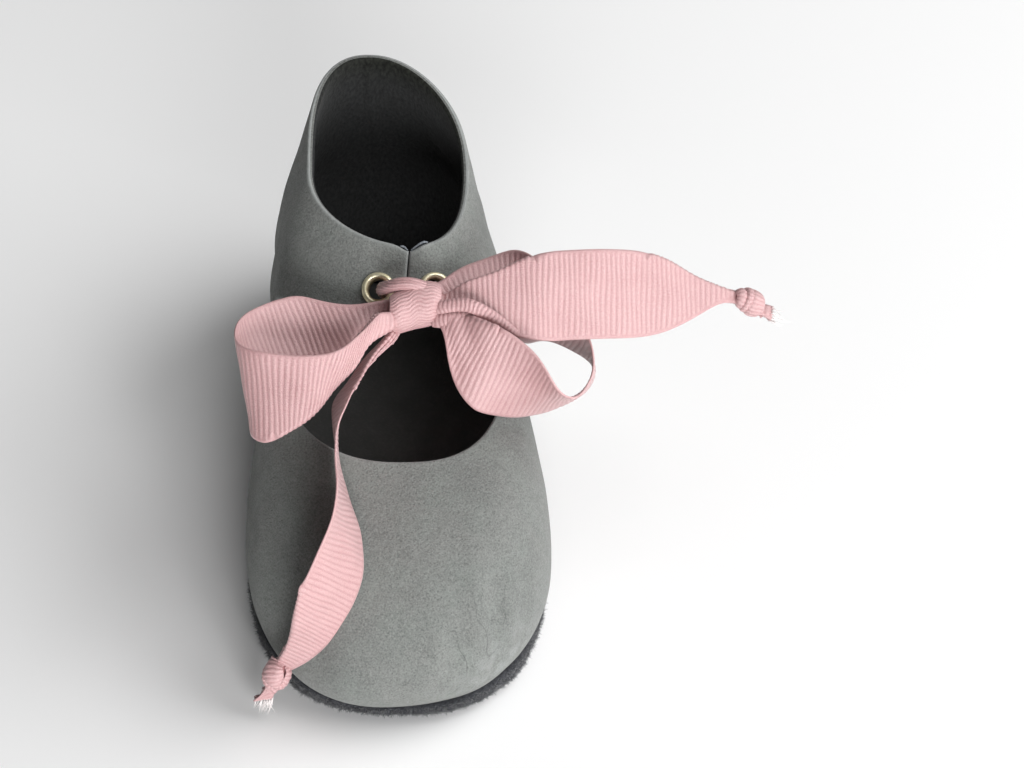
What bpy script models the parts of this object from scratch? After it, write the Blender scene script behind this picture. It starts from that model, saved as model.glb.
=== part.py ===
"""A baby's soft-soled leather bootie tied with a ribbon bow.

A left shoe: its toe to -Y, its lateral side to +X, its sole on z = 0.
"""
import math

import bpy
import numpy as np
from mathutils import Matrix, Vector

# Driving dimensions, in millimetres
LENGTH = 116.0
BALL_WIDTH = 55.0
HEEL_HEIGHT = 65.0
INSTEP_HEIGHT = 56.0
LEATHER = 1.5
SUEDE = 2.0
GAP = 0.3
MILLIMETRE = 0.001

# The last as rings, from the feather line at the sole up to the collar, one row for each ring.
# rise: the ring's place on the way up.
# front_y, wide_y, back_y: toe end, widest place and heel end, in % of half the length.
# front_z: in % of the instep height. side_z, back_z: in % of the heel height.
# medial, lateral: half widths. waist: how much narrower the ring is behind the ball.
# front_x, centre_x, back_x: its shifts to the side. All of these are in % of half the ball width.
# front_round, back_round: power of the oval's two ends.
LEVEL_COLUMNS = ("rise", "front_y", "wide_y", "back_y", "front_z", "side_z", "back_z",
                 "medial", "lateral", "waist", "front_x", "centre_x", "back_x", "front_round", "back_round")
LEVELS = (
    (0.00, -95.5, -43.0, 95.0, 8.0, 7.0, 7.0, 95.0, 95.0, 6.0, -2.0, 0.0, -6.0, 2.3, 2.7),
    (0.12, -100.0, -45.0, 99.3, 18.0, 17.5, 17.0, 100.0, 100.0, 7.0, -3.0, 0.0, -6.0, 2.2, 2.7),
    (0.25, -95.5, -38.0, 100.0, 32.0, 30.0, 31.0, 95.5, 96.0, 7.0, -2.0, 0.0, -6.0, 2.2, 2.7),
    (0.38, -82.0, -19.0, 98.8, 44.5, 41.5, 44.0, 89.0, 88.5, 6.0, 0.0, -1.0, -6.0, 2.3, 2.8),
    (0.52, -61.0, 2.0, 96.0, 53.5, 50.0, 55.5, 85.0, 83.0, 4.0, 2.0, -3.0, -6.0, 2.5, 2.6),
    (0.65, -33.0, 17.0, 93.0, 62.5, 58.5, 66.0, 79.5, 76.0, 2.0, 6.0, -4.5, -7.0, 2.5, 2.4),
    (0.80, -2.0, 31.0, 89.5, 81.5, 70.0, 79.0, 70.0, 67.0, 0.0, 9.0, -6.0, -9.0, 2.2, 2.3),
    (1.00, 16.5, 46.0, 86.0, 98.0, 88.5, 100.0, 54.0, 54.0, 0.0, 13.0, -7.0, -11.0, 2.0, 2.2),
)

# The throat's opening: rise of its front edge, of the strap's lower edge at the seam and of its corners,
# whose angle is from the toe; powers of its two edges; the front seam's gap and the notch over it
THROAT_RISE = 0.62
STRAP_RISE = 0.80
CORNER_RISE = 0.65
CORNER_ANGLE = 88.0
THROAT_POWER = 4.0
STRAP_POWER = 2.6
CORNER_POWER = 0.5
SEAM_HALF_GAP = 0.9
NOTCH_RISE = 0.02
NOTCH_ANGLE = 5.0

# Sole: its rim under the upper, the flat spot that it stands on, and its curl at edge, toe and medial arch
SOLE_OUTSET = 0.9
RIM_WIDTH = 1.9
FLAT_INSET = 5.0
EDGE_LIFT = 0.5
TOE_ROLL = 9.0
TOE_SPRING = 1.6
TOE_POWER = 4
ARCH_INSET = 5.0
ARCH_LIFT = 0.8
ARCH_ANGLE = -112.0
ARCH_SPREAD = 24.0
INSOLE_THICKNESS = 1.1
INSOLE_INSET = 3.0

# Section of the sole's outside from its flat spot to its rim. inset: share of the flat spot's inset,
# outset: share of the sole's outset, lift: share of the edge's lift, climb: share of the way on to the rim.
SOLE_COLUMNS = ("inset", "outset", "lift", "climb")
SOLE_SECTION = (
    (1.00, 0.0, 0.00, 0.00),
    (0.50, 0.0, 0.25, 0.00),
    (0.12, 0.0, 0.80, 0.02),
    (0.00, 0.6, 1.00, 0.25),
    (0.00, 1.0, 1.00, 0.60),
    (0.00, 0.3, 1.00, 1.00),
)

# Section of the sole's inside. inset: how far in from its rim, height: over the suede's upper face.
WELL_COLUMNS = ("inset", "height")
WELL_SECTION = ((0.6, 0.3), (2.0, 0.0))

# Section of the insole. inset: how far in from its edge, share: of its thickness.
INSOLE_COLUMNS = ("inset", "share")
INSOLE_SECTION = ((1.0, 0.0), (0.0, 0.36), (0.0, 0.73), (0.6, 1.0))

# Eyelets in the strap: their place, and their profile from the outer lip down the barrel to the inner flange,
# as radius and height over the leather
EYELET_RISE = 0.862
EYELET_ANGLES = {"eyelet_medial": -15.5, "eyelet_lateral": 17.5}
EYELET_BORE = 1.9
EYELET_BARREL = 2.2
EYELET_FLANGE = 3.0
EYELET_COLUMNS = ("radius", "height")
EYELET_PROFILE = (
    (EYELET_BORE, 0.45),
    (EYELET_BORE + 0.25, 0.85),
    (EYELET_BORE + 0.65, 0.95),
    (EYELET_FLANGE, 0.65),
    (EYELET_FLANGE, GAP),
    (EYELET_BARREL, GAP),
    (EYELET_BARREL, -LEATHER - 0.75),
    (EYELET_FLANGE - 0.2, -LEATHER - 0.75),
    (EYELET_FLANGE - 0.2, -LEATHER - 1.05),
    (EYELET_BORE, -LEATHER - 1.15),
)

# Ribbon: the bow's frame stands on the strap, right to the lateral side, up along the strap, out away from it
RIBBON_THICKNESS = 0.6
BAR_RADIUS = 1.35
KNOT_RISE = 0.822
KNOT_RIGHT = 1.4
KNOT_OUT = 5.6
KNOT_HALF_HEIGHT = 4.0
KNOT_HALF_DEPTH = 3.0
KNOT_COLUMNS = ("right", "girth")
KNOT_SECTION = ((-4.6, 0.72), (-3.6, 0.90), (-1.6, 1.0), (1.6, 1.0), (3.6, 0.92), (4.6, 0.76))

# Strips of the bow, a row for each fold. right, up, out: the middle of the ribbon in the bow's frame,
# width: how wide it is spread there, cant: the turn of its width from up towards right,
# tilt: its lean out of the bow's plane, in degrees.
STRIP_COLUMNS = ("right", "up", "out", "width", "cant", "tilt")
STRIPS = {
    "ribbon_loop_medial": (
        (-5.0, 0.4, -1.2, 3.4, 0, 0),
        (-10.0, -2.6, -1.6, 8.5, 0, 0),
        (-20.5, -5.4, -1.4, 15.0, 0, 8),
        (-27.3, -7.9, 1.2, 16.0, 4, 10),
        (-31.0, -12.4, 5.6, 16.0, 6, 6),
        (-29.0, -16.0, 9.2, 16.0, 6, 0),
        (-24.0, -16.0, 9.6, 15.5, 4, -6),
        (-17.4, -14.0, 8.2, 12.0, 0, -12),
        (-8.8, -6.0, 4.2, 5.0, -10, 0),
        (-5.0, -2.2, 2.0, 3.0, 0, 0),
    ),
    "ribbon_loop_lateral": (
        (5.0, 2.2, -1.6, 3.4, -20, 0),
        (9.5, 4.2, -3.2, 8.0, -10, 25),
        (16.0, 3.7, -5.0, 15.0, 0, 50),
        (25.0, -0.8, -9.0, 16.0, 5, 66),
        (31.0, -6.8, -9.4, 16.0, 15, 76),
        (31.2, -11.8, -6.0, 16.0, 20, 76),
        (27.8, -15.4, -1.5, 16.0, 15, 68),
        (22.2, -15.8, 2.0, 16.0, 12, 56),
        (17.0, -13.4, 4.0, 15.0, 20, 42),
        (10.5, -8.1, 3.6, 10.0, 24, 20),
        (5.0, -3.2, 2.0, 3.4, 20, 0),
    ),
    "ribbon_tail_lateral": (
        (5.0, 0.9, 0.4, 2.2, 0, 0),
        (8.0, 1.6, 1.4, 4.4, 0, -6),
        (13.4, 0.9, 2.2, 9.6, 0, -6),
        (20.0, 1.2, 2.2, 14.2, 0, 0),
        (33.0, 2.2, 0.0, 15.8, 0, 6),
        (44.0, 2.9, -3.2, 13.4, 0, 6),
        (52.0, 3.4, -6.0, 6.4, 0, 0),
        (57.0, 2.9, -7.6, 2.6, 0, 0),
    ),
    "ribbon_tail_medial": (
        (-5.0, -4.3, 1.2, 2.6, 60, 0),
        (-9.1, -9.6, 1.6, 5.5, 60, 25),
        (-12.2, -15.9, 2.4, 8.0, 75, 58),
        (-13.3, -23.4, 5.0, 9.0, 85, 78),
        (-12.5, -31.2, 8.0, 11.5, 92, 78),
        (-12.0, -38.7, 10.4, 15.0, 98, 64),
        (-13.9, -47.5, 11.6, 16.0, 108, 46),
        (-16.7, -55.2, 9.4, 15.0, 118, 40),
        (-20.3, -60.4, 3.2, 8.0, 122, 20),
        (-23.1, -62.4, -1.7, 2.4, 125, 0),
    ),
}
STRIP_STATIONS = 26

# The gathered ribbon through the eyelets: height over the leather along an eyelet's axis and shift towards
# the front seam, then across the inside. Its two ends at the knot's back are in the bow's frame.
BAR_COLUMNS = ("height", "shift")
BAR_SECTION = ((1.0, 0.0), (-0.8, 0.0), (-2.4, 0.1), (-4.2, 0.9), (-5.2, 2.8))
BAR_POINTS = 40
BAR_ROUNDING = 2
BAR_ENDS = {"eyelet_medial": (-4.5, 4.7, -0.7), "eyelet_lateral": (3.6, 3.6, -2.6)}

# Knots at the ribbon's ends: middle and axis in the bow's frame, and section along the axis
END_KNOTS = {
    "ribbon_end_knot_lateral": ((60.8, 2.4, -8.9), (0.88, -0.36, -0.3)),
    "ribbon_end_knot_medial": ((-24.3, -65.8, -4.6), (-0.16, -0.78, -0.6)),
}
END_KNOT_COLUMNS = ("along", "radius")
END_KNOT_SECTION = (
    (-3.6, 1.1),
    (-2.8, 2.2),
    (-1.0, 3.0),
    (1.0, 3.0),
    (2.6, 2.2),
    (3.4, 1.6),
    (5.0, 2.1),
    (6.4, 2.2),
)

# Mesh sizes
THROAT_COLUMNS = 14
QUARTER_COLUMNS = 15
VAMP_ROWS = 9
STRAP_ROWS = 4
OUTLINE_COLUMNS = 64
EYELET_SIDES = 20
KNOT_SIDES = 14
SHARP_EDGE = 40.0
SMALL_STEP = 1e-4


def columns(names, rows):
    """A table's columns by name."""
    return dict(zip(names, np.array(rows, float).T))


def smooth(stations, values, at):
    """Natural cubic spline through rows of values at the given stations, read at each place in at."""
    stations = np.asarray(stations, float)
    values = np.asarray(values, float)
    gap = np.diff(stations)
    count = len(stations)
    system = np.eye(count)
    right = np.zeros_like(values)
    for i in range(1, count - 1):
        system[i, i - 1:i + 2] = gap[i - 1], 2 * (gap[i - 1] + gap[i]), gap[i]
        right[i] = 6 * ((values[i + 1] - values[i]) / gap[i] - (values[i] - values[i - 1]) / gap[i - 1])
    bend = np.linalg.solve(system, right)
    at = np.asarray(at, float)
    k = np.clip(np.searchsorted(stations, at) - 1, 0, count - 2)
    step = gap[k][:, None]
    a = (stations[k + 1] - at)[:, None] / step
    b = 1 - a
    curve = (a ** 3 - a) * bend[k] + (b ** 3 - b) * bend[k + 1]
    return a * values[k] + b * values[k + 1] + curve * step ** 2 / 6


def parabola(stations, values, at):
    """The parabola through three values at their stations, read at each place in at."""
    total = 0
    for i, value in enumerate(values):
        share = 1
        for j, station in enumerate(stations):
            if j != i:
                share = share * (at - station) / (stations[i] - station)
        total = total + value * share
    return total


def last_point(angle, rise):
    """Points of the last's outer surface; angle is in radians from the toe, positive to the lateral side."""
    level = columns(LEVEL_COLUMNS, smooth(columns(LEVEL_COLUMNS, LEVELS)["rise"], LEVELS, rise))
    ahead = np.cos(angle)
    aside = np.sin(angle)
    in_front = ahead >= 0
    power = np.where(in_front, level["front_round"], level["back_round"])
    radius = (np.abs(ahead) ** power + np.abs(aside) ** power) ** (-1 / power)
    along = radius * np.abs(ahead)
    end_y = np.where(in_front, level["front_y"], level["back_y"])
    place = level["wide_y"] + (end_y - level["wide_y"]) * along
    half = np.where(aside >= 0, level["lateral"], level["medial"])
    half = half - np.where(in_front, 0, level["waist"] * np.sin(np.pi * along) ** 2)
    swing = np.where(in_front, level["front_x"], level["back_x"]) * along ** 2
    x = half * radius * aside + level["centre_x"] + swing
    ends = level["front_y"], level["wide_y"], level["back_y"]
    heights = level["front_z"] * INSTEP_HEIGHT, level["side_z"] * HEEL_HEIGHT, level["back_z"] * HEEL_HEIGHT
    z = parabola(ends, heights, place)
    return np.stack((x * BALL_WIDTH / 2, place * LENGTH / 2, z), axis=1) / 100


def last_normal(angle, rise):
    """Outward unit normals of the last at the same angles and rises."""
    round_it = last_point(angle + SMALL_STEP, rise) - last_point(angle - SMALL_STEP, rise)
    above = np.minimum(rise + SMALL_STEP, 1)
    below = np.maximum(rise - SMALL_STEP, 0)
    normal = np.cross(round_it, last_point(angle, above) - last_point(angle, below))
    return normal / np.linalg.norm(normal, axis=1)[:, None]


def corner_share(angle):
    """Share of the way round from the front seam to the throat's corner."""
    return np.minimum(np.abs(angle) / math.radians(CORNER_ANGLE), 1)


def throat_rise(angle):
    """How far up the vamp reaches: the throat's front edge, and behind its corner the strap's root."""
    fall = (1 - corner_share(angle) ** THROAT_POWER) ** CORNER_POWER
    return CORNER_RISE + (THROAT_RISE - CORNER_RISE) * fall


def strap_rise(angle):
    """Lower edge of the strap, from the front seam round into the throat's corner, and on behind it."""
    fall = (1 - corner_share(angle) ** STRAP_POWER) ** CORNER_POWER
    return CORNER_RISE + (STRAP_RISE - CORNER_RISE) * fall


def collar_rise(angle):
    """How far up the collar's edge is at an angle, with its small notch at the front seam."""
    return 1 - NOTCH_RISE * np.exp(-(np.degrees(angle) / NOTCH_ANGLE) ** 2)


def add_object(name, points, faces, material):
    """A named mesh object from points in millimetres."""
    mesh = bpy.data.meshes.new(name)
    mesh.from_pydata((np.asarray(points) * MILLIMETRE).tolist(), [], faces)
    mesh.materials.append(material)
    mesh.shade_smooth()
    mesh.set_sharp_from_angle(angle=math.radians(SHARP_EDGE))
    thing = bpy.data.objects.new(name, mesh)
    bpy.context.scene.collection.objects.link(thing)
    return thing


def add_material(name, colour, roughness, metallic=0.0):
    material = bpy.data.materials.new(name)
    material.use_nodes = True
    shader = material.node_tree.nodes["Principled BSDF"]
    shader.inputs["Base Color"].default_value = (*colour, 1)
    shader.inputs["Roughness"].default_value = roughness
    shader.inputs["Metallic"].default_value = metallic
    return material


def thick_sheet(angle, rise, quads, wall):
    """Points and faces of a sheet of the last's surface with its wall inwards and its free edges closed."""
    outer = last_point(angle, rise)
    inner = outer - wall * last_normal(angle, rise)
    count = len(outer)
    faces = [tuple(q) for q in quads]
    faces += [tuple(i + count for i in reversed(q)) for q in quads]
    edges = {(q[i - 1], q[i]) for q in quads for i in range(4)}
    faces += [(b, a, a + count, b + count) for a, b in edges if (b, a) not in edges]
    return np.concatenate((outer, inner)), sorted(faces)


def upper_grid():
    """Angles, rises and quads of the upper's surface: vamp and quarters, then collar and strap above them."""
    front = CORNER_ANGLE * np.sin(np.linspace(0, np.pi / 2, THROAT_COLUMNS + 1))
    rear = np.linspace(CORNER_ANGLE, 180, QUARTER_COLUMNS + 1)[1:]
    half = np.concatenate((front, rear))
    low = np.radians(np.concatenate((half, -half[-2:0:-1])))
    seam = math.radians(SEAM_HALF_GAP)
    high = np.concatenate(((seam,), low[1:], (-seam,)))
    open_front = np.abs(low) < math.radians(CORNER_ANGLE) - SMALL_STEP
    angle, rise, quads = [], [], []
    low_index = np.arange((VAMP_ROWS + 1) * len(low)).reshape(VAMP_ROWS + 1, len(low))
    for row in range(VAMP_ROWS + 1):
        angle.extend(low)
        rise.extend(throat_rise(low) * row / VAMP_ROWS)
    high_index = np.zeros((STRAP_ROWS + 1, len(high)), int)
    for row in range(STRAP_ROWS + 1):
        for column, a in enumerate(high):
            if row == 0 and column < len(low) and not open_front[column]:
                high_index[row, column] = low_index[-1, column]
                continue
            high_index[row, column] = len(angle)
            angle.append(a)
            rise.append(strap_rise(a) + (collar_rise(a) - strap_rise(a)) * row / STRAP_ROWS)
    for table, closed in ((low_index, True), (high_index, False)):
        rows, columns = table.shape
        for r in range(rows - 1):
            for c in range(columns if closed else columns - 1):
                d = (c + 1) % columns
                quads.append((table[r, c], table[r, d], table[r + 1, d], table[r + 1, c]))
    quads = [tuple(int(i) for i in q) for q in quads]
    return np.array(angle), np.array(rise), quads


def make_upper(material):
    angle, rise, quads = upper_grid()
    points, faces = thick_sheet(angle, rise, quads, LEATHER)
    return add_object("upper", points, faces, material)


def solid_from_rings(rings, looped=False):
    """Points and faces of a solid through closed rings of equal count, capped at its ends or looped."""
    rings = np.asarray(rings)
    rows, columns, _ = rings.shape
    index = np.arange(rows * columns).reshape(rows, columns).tolist()
    faces = []
    for r in range(rows if looped else rows - 1):
        below = index[r]
        above = index[(r + 1) % rows]
        faces += [(below[c - 1], below[c], above[c], above[c - 1]) for c in range(columns)]
    if not looped:
        faces += [tuple(reversed(index[0])), tuple(index[-1])]
    points = rings.reshape(-1, 3)
    volume = sum(np.dot(points[f[0]], np.cross(points[f[i]], points[f[i + 1]]))
                 for f in faces for i in range(1, len(f) - 1))
    if volume < 0:
        faces = [tuple(reversed(f)) for f in faces]
    return points, faces


def outline(angle, outset, height):
    """The feather line in plan, moved outwards by outset, at a height."""
    level = np.zeros_like(angle)
    ahead = (last_point(angle + SMALL_STEP, level) - last_point(angle - SMALL_STEP, level))[:, :2]
    sideways = np.stack((ahead[:, 1], -ahead[:, 0]), axis=1)
    sideways /= np.linalg.norm(sideways, axis=1)[:, None]
    plan = last_point(angle, level)[:, :2] + np.broadcast_to(outset, angle.shape)[:, None] * sideways
    return np.column_stack((plan, np.broadcast_to(height, angle.shape)))


def make_sole(material):
    angle = np.linspace(-np.pi, np.pi, OUTLINE_COLUMNS, endpoint=False)
    toe = np.clip(np.cos(angle), 0, 1) ** TOE_POWER
    arch = np.exp(-((np.degrees(angle) - ARCH_ANGLE) / ARCH_SPREAD) ** 2)
    inset = FLAT_INSET + TOE_ROLL * toe + ARCH_INSET * arch
    lift = EDGE_LIFT + TOE_SPRING * toe + ARCH_LIFT * arch
    rim = last_point(angle, np.zeros_like(angle))[:, 2] - GAP
    rings = []
    for row in SOLE_SECTION:
        at = dict(zip(SOLE_COLUMNS, row))
        under = at["lift"] * lift
        outset = at["outset"] * SOLE_OUTSET - at["inset"] * inset
        rings.append(outline(angle, outset, under + at["climb"] * (rim - under)))
    rings.append(outline(angle, -RIM_WIDTH, rim))
    well = columns(WELL_COLUMNS, WELL_SECTION)
    for step, height in zip(well["inset"], well["height"]):
        rings.append(outline(angle, -RIM_WIDTH - step, SUEDE + height))
    return add_object("sole", *solid_from_rings(rings), material)


def make_insole(material):
    angle = np.linspace(-np.pi, np.pi, OUTLINE_COLUMNS, endpoint=False)
    section = columns(INSOLE_COLUMNS, INSOLE_SECTION)
    rings = [outline(angle, -INSOLE_INSET - step, SUEDE + GAP + share * INSOLE_THICKNESS)
             for step, share in zip(section["inset"], section["share"])]
    return add_object("insole", *solid_from_rings(rings), material)


def strap_frame(angle_degrees, rise):
    """Frame on the leather's outside: its z axis stands out from it, its y axis points up along it."""
    angle = np.radians([angle_degrees])
    rise = np.array([rise])
    out = Vector(last_normal(angle, rise)[0])
    up = Vector((0, 0, 1)) - out * out.z
    up.normalize()
    frame = Matrix((up.cross(out), up, out)).transposed().to_4x4()
    frame.translation = Vector(last_point(angle, rise)[0])
    return frame


def in_metres(frame):
    """The same frame with its place in metres, for an object."""
    moved = frame.copy()
    moved.translation = frame.translation * MILLIMETRE
    return moved


def turned_ring(radius, height, sides):
    turn = np.linspace(0, 2 * np.pi, sides, endpoint=False)
    return np.column_stack((radius * np.cos(turn), radius * np.sin(turn), np.full(sides, height)))


def make_eyelet(name, upper, material):
    """An eyelet, and the hole that it takes in the upper."""
    frame = in_metres(strap_frame(EYELET_ANGLES[name], EYELET_RISE))
    profile = columns(EYELET_COLUMNS, EYELET_PROFILE)
    rings = [turned_ring(radius, height, EYELET_SIDES)
             for radius, height in zip(profile["radius"], profile["height"])]
    eyelet = add_object(name, *solid_from_rings(rings, looped=True), material)
    eyelet.matrix_world = frame
    drill = [turned_ring(EYELET_BARREL + GAP, height, EYELET_SIDES) for height in (-2 * LEATHER, LEATHER)]
    cutter = add_object(name + "_hole", *solid_from_rings(drill), material)
    cutter.matrix_world = frame
    cutter.hide_render = True
    cutter.display_type = "WIRE"
    cut = upper.modifiers.new(name + "_hole", "BOOLEAN")
    cut.operation = "DIFFERENCE"
    cut.solver = "EXACT"
    cut.object = cutter
    return eyelet


def bow_frame():
    """Frame of the bow at the knot's middle: x to the lateral side, y up along the strap, z out from it."""
    frame = strap_frame(0, KNOT_RISE)
    out = frame.to_3x3() @ Vector((0, 0, 1))
    out.x = 0
    out.normalize()
    right = Vector((1, 0, 0))
    bow = Matrix((right, out.cross(right), out)).transposed().to_4x4()
    bow.translation = frame.translation + right * KNOT_RIGHT + out * KNOT_OUT
    return bow


def placed(frame, points):
    turn = np.array(frame.to_3x3())
    return np.asarray(points) @ turn.T + np.array(frame.translation)


def distances(points):
    """How far along a line each of its points is."""
    return np.concatenate(((0,), np.cumsum(np.linalg.norm(np.diff(points, axis=0), axis=1))))


def make_strip(name, rows, material):
    """A stretch of flat ribbon through its folds."""
    folds = distances(np.array(rows)[:, :3])
    at = columns(STRIP_COLUMNS, smooth(folds, rows, np.linspace(0, folds[-1], STRIP_STATIONS)))
    middle = np.column_stack((at["right"], at["up"], at["out"]))
    cant = np.radians(at["cant"])
    tilt = np.radians(at["tilt"])
    across = np.column_stack((np.sin(cant) * np.cos(tilt), np.cos(cant) * np.cos(tilt), np.sin(tilt)))
    face = np.cross(np.gradient(middle, axis=0), across)
    face /= np.linalg.norm(face, axis=1)[:, None]
    across *= at["width"][:, None] / 2
    face *= RIBBON_THICKNESS / 2
    corners = (middle + across + face, middle + across - face, middle - across - face, middle - across + face)
    rings = np.stack([placed(bow_frame(), corner) for corner in corners], axis=1)
    return add_object(name, *solid_from_rings(rings), material)


def make_knot(material):
    turn = np.linspace(0, 2 * np.pi, KNOT_SIDES, endpoint=False)
    section = columns(KNOT_COLUMNS, KNOT_SECTION)
    rings = []
    for right, girth in zip(section["right"], section["girth"]):
        up = girth * KNOT_HALF_HEIGHT * np.cos(turn)
        out = girth * KNOT_HALF_DEPTH * np.sin(turn)
        rings.append(placed(bow_frame(), np.column_stack((np.full(KNOT_SIDES, right), up, out))))
    return add_object("ribbon_knot", *solid_from_rings(rings), material)


def bar_side(name):
    """Route of the gathered ribbon on one side, from the knot in through an eyelet and on to the middle."""
    frame = strap_frame(EYELET_ANGLES[name], EYELET_RISE)
    inward = -math.copysign(1, EYELET_ANGLES[name])
    section = columns(BAR_COLUMNS, BAR_SECTION)
    inside = np.column_stack((section["shift"] * inward, np.zeros(len(BAR_SECTION)), section["height"]))
    return np.concatenate((placed(bow_frame(), [BAR_ENDS[name]]), placed(frame, inside)))


def make_bar(material):
    """The run of ribbon, gathered to a cord, that ties the two halves of the strap through their eyelets."""
    medial, lateral = (bar_side(name) for name in EYELET_ANGLES)
    route = np.concatenate((medial, lateral[::-1]))
    places = distances(route)
    points = smooth(places, route, np.linspace(0, places[-1], BAR_POINTS)) * MILLIMETRE
    curve = bpy.data.curves.new("ribbon_bar", "CURVE")
    curve.dimensions = "3D"
    curve.bevel_depth = BAR_RADIUS * MILLIMETRE
    curve.bevel_resolution = BAR_ROUNDING
    curve.use_fill_caps = True
    line = curve.splines.new("POLY")
    line.points.add(len(points) - 1)
    for point, place in zip(line.points, points):
        point.co = (*place, 1)
    curve.materials.append(material)
    bar = bpy.data.objects.new("ribbon_bar", curve)
    bpy.context.scene.collection.objects.link(bar)
    return bar


def make_end_knot(name, middle, axis, material):
    turned = Vector(axis).to_track_quat("Z", "Y").to_matrix().to_4x4()
    turned.translation = Vector(middle)
    section = columns(END_KNOT_COLUMNS, END_KNOT_SECTION)
    rings = [placed(bow_frame() @ turned, turned_ring(radius, along, KNOT_SIDES))
             for along, radius in zip(section["along"], section["radius"])]
    return add_object(name, *solid_from_rings(rings), material)


def main():
    for thing in list(bpy.data.objects):
        bpy.data.objects.remove(thing)
    leather = add_material("nubuck", (0.24, 0.25, 0.24), 0.85)
    suede = add_material("suede", (0.05, 0.053, 0.06), 0.95)
    lining = add_material("insole_leather", (0.02, 0.02, 0.02), 0.7)
    brass = add_material("brass", (0.55, 0.48, 0.28), 0.3, 1.0)
    ribbon = add_material("grosgrain", (0.72, 0.40, 0.40), 0.7)
    upper = make_upper(leather)
    make_sole(suede)
    make_insole(lining)
    for name in EYELET_ANGLES:
        make_eyelet(name, upper, brass)
    make_bar(ribbon)
    make_knot(ribbon)
    for name, rows in STRIPS.items():
        make_strip(name, rows, ribbon)
    for name, (middle, axis) in END_KNOTS.items():
        make_end_knot(name, middle, axis, ribbon)


main()
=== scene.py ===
"""How the bootie looks: a left baby shoe of grey nubuck on a soft suede sole, tied with a pink ribbon bow.

Sizes are in millimetres and follow the same last and the same bow as the solids.
"""
import math

import bpy
import numpy as np
from mathutils import Matrix, Vector, kdtree


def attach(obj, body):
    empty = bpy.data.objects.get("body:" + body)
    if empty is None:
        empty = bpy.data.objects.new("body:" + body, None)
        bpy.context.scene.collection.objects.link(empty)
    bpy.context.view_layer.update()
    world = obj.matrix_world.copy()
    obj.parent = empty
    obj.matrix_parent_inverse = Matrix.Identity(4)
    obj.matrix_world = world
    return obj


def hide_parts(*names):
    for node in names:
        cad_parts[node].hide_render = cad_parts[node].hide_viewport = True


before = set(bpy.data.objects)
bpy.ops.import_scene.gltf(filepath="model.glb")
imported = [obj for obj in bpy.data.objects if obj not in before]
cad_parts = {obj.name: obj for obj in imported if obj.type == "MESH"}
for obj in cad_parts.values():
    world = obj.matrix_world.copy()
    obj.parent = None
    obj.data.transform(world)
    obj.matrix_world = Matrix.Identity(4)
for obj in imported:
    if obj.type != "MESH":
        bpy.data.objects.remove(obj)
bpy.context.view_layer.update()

# Driving dimensions
LENGTH = 116.0
BALL_WIDTH = 55.0
HEEL_HEIGHT = 65.0
INSTEP_HEIGHT = 56.0
LEATHER = 1.5
SUEDE = 2.0
GAP = 0.3
MILLIMETRE = 0.001
SMALL_STEP = 1e-4
PERCENT = 100

# The last as rings from the feather line up to the collar, in % of the driving dimensions
LEVEL_COLUMNS = ("rise", "front_y", "wide_y", "back_y", "front_z", "side_z", "back_z",
                 "medial", "lateral", "waist", "front_x", "centre_x", "back_x", "front_round", "back_round")
LEVELS = (
    (0.00, -95.5, -43.0, 95.0, 8.0, 7.0, 7.0, 95.0, 95.0, 6.0, -2.0, 0.0, -6.0, 2.3, 2.7),
    (0.12, -100.0, -45.0, 99.3, 18.0, 17.5, 17.0, 100.0, 100.0, 7.0, -3.0, 0.0, -6.0, 2.2, 2.7),
    (0.25, -95.5, -38.0, 100.0, 32.0, 30.0, 31.0, 95.5, 96.0, 7.0, -2.0, 0.0, -6.0, 2.2, 2.7),
    (0.38, -82.0, -19.0, 98.8, 44.5, 41.5, 44.0, 89.0, 88.5, 6.0, 0.0, -1.0, -6.0, 2.3, 2.8),
    (0.52, -61.0, 2.0, 96.0, 53.5, 50.0, 55.5, 85.0, 83.0, 4.0, 2.0, -3.0, -6.0, 2.5, 2.6),
    (0.65, -33.0, 17.0, 93.0, 62.5, 58.5, 66.0, 79.5, 76.0, 2.0, 6.0, -4.5, -7.0, 2.5, 2.4),
    (0.80, -2.0, 31.0, 89.5, 81.5, 70.0, 79.0, 70.0, 67.0, 0.0, 9.0, -6.0, -9.0, 2.2, 2.3),
    (1.00, 16.5, 46.0, 86.0, 98.0, 88.5, 100.0, 54.0, 54.0, 0.0, 13.0, -7.0, -11.0, 2.0, 2.2),
)

# The throat's opening, the front seam and the notch over it
THROAT_RISE = 0.62
STRAP_RISE = 0.80
CORNER_RISE = 0.65
CORNER_ANGLE = 88.0
THROAT_POWER = 4.0
STRAP_POWER = 2.6
CORNER_POWER = 0.5
SEAM_HALF_GAP = 0.35
NOTCH_RISE = 0.022
NOTCH_ANGLE = 7.0

# Upper: mesh sizes, rounding of its cut edges, and the steps in from a cut edge where the mesh is finer
THROAT_COLUMNS = 78
QUARTER_COLUMNS = 60
VAMP_ROWS = 64
STRAP_ROWS = 26
EDGE_ROUND = 0.55
EDGE_STEPS = (0.0, 0.04, 0.14, 0.3, 0.5, 0.8)
VAMP_REACH = 50.0
STRAP_HEIGHT = 16.0
SEAM_DEGREE = 0.31
SEAM_MARGIN = 0.8
CALM_EDGE = 4.0
CREASE_EDGE = 2.0
CREASE_LEAST = 0.2
DRILL_SIDES = 48
DRILL_HEIGHTS = (-3 * LEATHER, 2 * LEATHER)

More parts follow.
